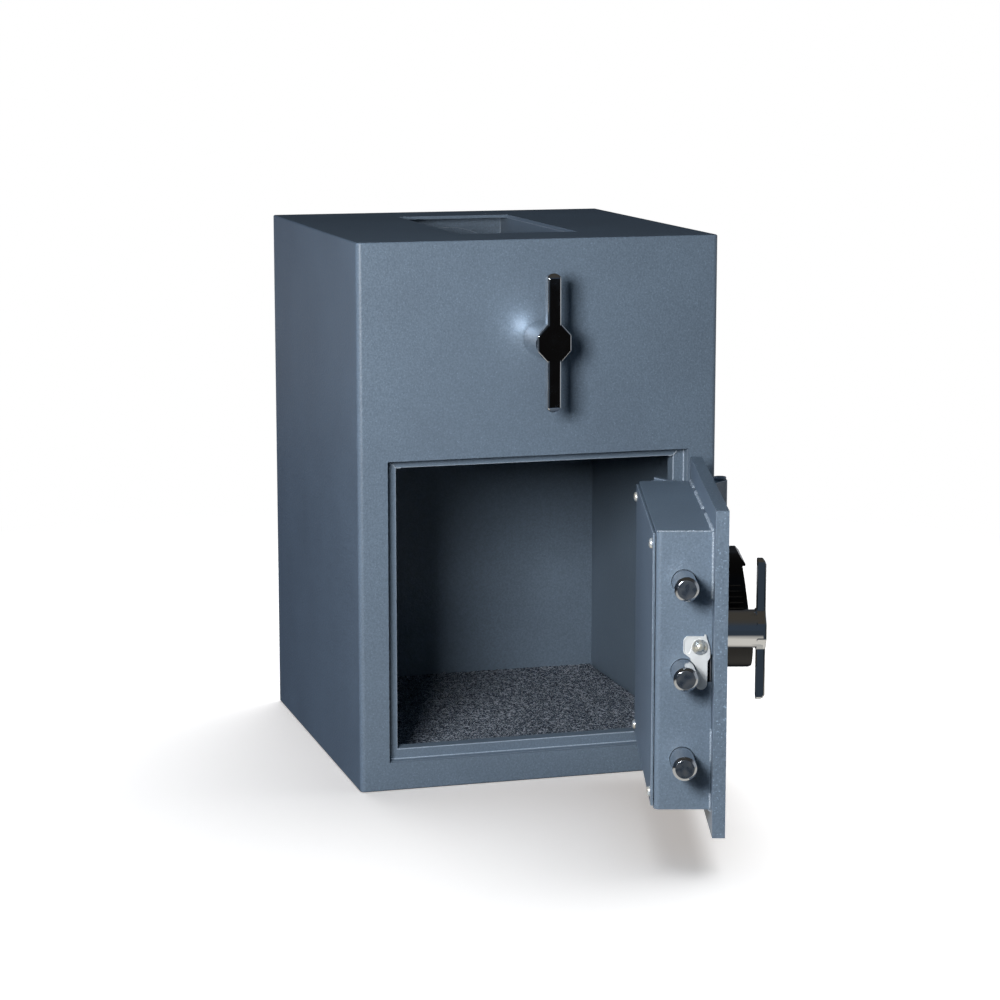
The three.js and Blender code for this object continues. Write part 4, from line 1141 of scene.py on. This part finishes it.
# Keypad
# Injection-moulded ABS, black and glossy, screwed to the door plate: a sloping face under a brow, with
# finger grooves down both sides.
pad_left, pad_right = 31.5, 119.5
pad_base = -184.3
pad_foot, pad_top = 158.3, 233
pad_corner = 30
pad_depth = 27.5
pad_slope = math.tan(math.radians(7.8))
brow_height = 8.6
brow_proud = 2.8
pad_blank = 60
side_past = 5
key_rows = 4
key_columns = 3
key_middle = (75.5, 188)
key_pitch = (17, 12.5)
pocket_half = (6.9, 4.9)
pocket_depth = 6.6
groove_count = 5
groove_top = 208
groove_pitch = 5.2
groove_radius = 1
groove_span = (4, -14)
# Polished moulded plastic: near black, with a clear but slightly uneven shine.
gloss, tree, shader = finish_material("polished_black_abs", "#121113", 0.0, 0.16, Specular_IOR_Level=0.35)
vary_gloss(tree, shader, 5, (0.12, 0.22))


def face_depth(z):
    """How far the sloping face stands out at a height."""
    return pad_depth + (pad_top - z) * pad_slope


brow_foot = pad_top - brow_height
brow_face = pad_base - face_depth(brow_foot)
side_profile = [
    (pad_base, pad_foot),
    (pad_base - face_depth(pad_foot), pad_foot),
    (brow_face, brow_foot - 0.6),
    (brow_face - 0.5, brow_foot),
    (brow_face - brow_proud + 0.5, brow_foot),
    (brow_face - brow_proud, brow_foot + 0.6),
    (brow_face - brow_proud, brow_foot + 1.6),
    *arc((pad_base - pad_depth + 2.6, pad_top - 3), 3, 165, 90, 6),
    (pad_base, pad_top),
]
front_outline = [
    (pad_left, pad_foot - 1),
    *arc((pad_left + pad_corner, pad_top - pad_corner), pad_corner, 180, 90, 16),
    *arc((pad_right - pad_corner, pad_top - pad_corner), pad_corner, 90, 0, 16),
    (pad_right, pad_foot - 1),
]
housing = extruded("keypad_housing_finished", front_outline, pad_base, pad_base - pad_blank)
sloping = extruded("sloping_body", side_profile, pad_left - side_past, pad_right + side_past, axis="X")
soften(combine(housing, "INTERSECT", [sloping]), 1.3, 4, 32)
legends = ("1", "2", "3", "4", "5", "6", "7", "8", "9", "clear", "0", "enter")
slope_angle = math.atan(pad_slope)
key_frames = {}
for place, legend in enumerate(legends):
    row, column = divmod(place, key_columns)
    x = key_middle[0] + (column - (key_columns - 1) / 2) * key_pitch[0]
    z = key_middle[1] + ((key_rows - 1) / 2 - row) * key_pitch[1] * math.cos(slope_angle)
    on_slope = Matrix.Translation((x, pad_base - face_depth(z), z))
    key_frames[legend] = on_slope @ Matrix.Rotation(-slope_angle, 4, "X")


def place_on_pad(piece, key_frame):
    """Moves a piece that was drawn about its key's centre to where the key sits on the slope."""
    piece.data.transform(Matrix.Scale(MM, 4) @ key_frame @ Matrix.Scale(1 / MM, 4))
    return piece


half_x, half_z = pocket_half
pockets = [
    place_on_pad(block("pocket", (-half_x, -3, -half_z), (half_x, pocket_depth, half_z)), key_frame)
    for key_frame in key_frames.values()
]
grooves = []
for x in (pad_left, pad_right):
    for i in range(groove_count):
        z = groove_top - i * groove_pitch
        front, back = groove_span[0] - face_depth(z), groove_span[1]
        grooves.append(drill(groove_radius, front, back, (x, pad_base, z), "Y", 12))
combine(housing, "DIFFERENCE", pockets + grooves)
soften(housing, 0.2, 2, 60)
fit(hang(housing), gloss, "door", "housing_plastic", "keypad_housing")


# Battery drawer
# The lower end of the keypad head, in the same black ABS: a closed tray on a tongue, with a thumb rib,
# that slides down to take the battery.
drawer_foot = 128
drawer_top = 158
drawer_depth = 38.5
tongue_low = (49.5, -193.3, drawer_top - 1)
tongue_high = (101.5, -186.3, 180)
rib_x = (60.5, 90.5)
rib_heights = (140, 144, 148)
rib_proud = 0.6
rib_width = 1.4
drawer_face = pad_base - drawer_depth
drawer_outline = [
    (pad_right, drawer_top),
    *arc((pad_right - pad_corner, drawer_foot + pad_corner), pad_corner, 0, -90, 16),
    *arc((pad_left + pad_corner, drawer_foot + pad_corner), pad_corner, -90, -180, 16),
    (pad_left, drawer_top),
]
drawer = extruded("battery_drawer_finished", drawer_outline, pad_base, drawer_face)
drawer_profile = [
    (pad_base, drawer_top),
    (pad_base, drawer_foot - 1),
    (drawer_face + 9, drawer_foot - 1),
    *arc((drawer_face + 5, drawer_foot + 6), 5, -90, -180, 6),
    (drawer_face, drawer_top),
]
rounded = extruded("drawer_body", drawer_profile, pad_left - side_past, pad_right + side_past, axis="X")
combine(drawer, "INTERSECT", [rounded])
thumb_ribs = [
    block("thumb_rib", (rib_x[0], drawer_face - rib_proud, z), (rib_x[1], drawer_face + 1, z + rib_width))
    for z in rib_heights
]
combine(drawer, "UNION", [block("tongue", tongue_low, tongue_high)] + thumb_ribs)
soften(drawer, 0.7, 3, 32)
fit(hang(drawer), gloss, "battery_drawer", "housing_plastic", "battery_drawer")


# Keys
# Twelve moulded caps, slightly dished, each on its own spring. They are dark grey and finely frosted,
# with plain numbers in a dull white print.
key_half = (6.5, 4.5)
key_proud = 0.4
key_sunk = 4.6
key_dish = 0.35
key_rim = 0.3
sign_height = 6.2
sign_thickness = 0.06
cap, tree, shader = finish_material("moulded_key_cap", "#2b2d30", roughness=0.4)
vary_gloss(tree, shader, 1.2, (0.32, 0.48))
ink, tree, shader = finish_material("white_pad_print", "#d9dbdc", roughness=0.55)
vary_gloss(tree, shader, 0.8, (0.45, 0.62))
signs = {"clear": "*", "enter": "#"}
face_out = Matrix.Rotation(math.pi / 2, 4, "X")


def key_sign(text):
    """A number as a thin flat solid that faces out of the keypad."""
    curve = bpy.data.curves.new("sign", "FONT")
    curve.body = text
    curve.size = sign_height * MM
    curve.extrude = sign_thickness * MM
    curve.resolution_u = 3
    curve.align_x = "CENTER"
    curve.align_y = "CENTER"
    letters = add_object("sign", curve)
    mesh = plain_mesh(letters)
    bpy.data.objects.remove(letters)
    mesh.transform(Matrix.Translation((0, -(key_proud - key_dish * 0.4) * MM, 0)) @ face_out)
    return mesh


for legend, key_frame in key_frames.items():
    bm = bmesh.new()
    bmesh.ops.create_grid(bm, x_segments=8, y_segments=6, size=1)
    bmesh.ops.transform(bm, matrix=face_out, verts=bm.verts)
    bmesh.ops.scale(bm, vec=(key_half[0], 1, key_half[1]), verts=bm.verts)
    for vert in bm.verts:
        rim = max(abs(vert.co.x) / key_half[0], abs(vert.co.z) / key_half[1])
        vert.co.y = -key_proud + key_dish * (1 - rim**2) + (key_rim if rim > 0.99 else 0)
    sides = bmesh.ops.extrude_face_region(bm, geom=list(bm.faces))["geom"]
    for vert in (v for v in sides if isinstance(v, bmesh.types.BMVert)):
        vert.co.y = key_sunk
    name = f"key_{legend}"
    button = soften(solid(name + "_finished", bm), 0.45, 3, 50)
    fit(button, cap, name, "key_plastic", name)
    button.data.materials.append(ink)
    bm = bmesh.new()
    bm.from_mesh(button.data)
    count = len(bm.faces)
    bm.from_mesh(key_sign(signs.get(legend, legend)))
    bm.faces.ensure_lookup_table()
    for face in bm.faces[count:]:
        face.material_index = 1
    bm.to_mesh(button.data)
    bm.free()
    hang(place_on_pad(button, key_frame))
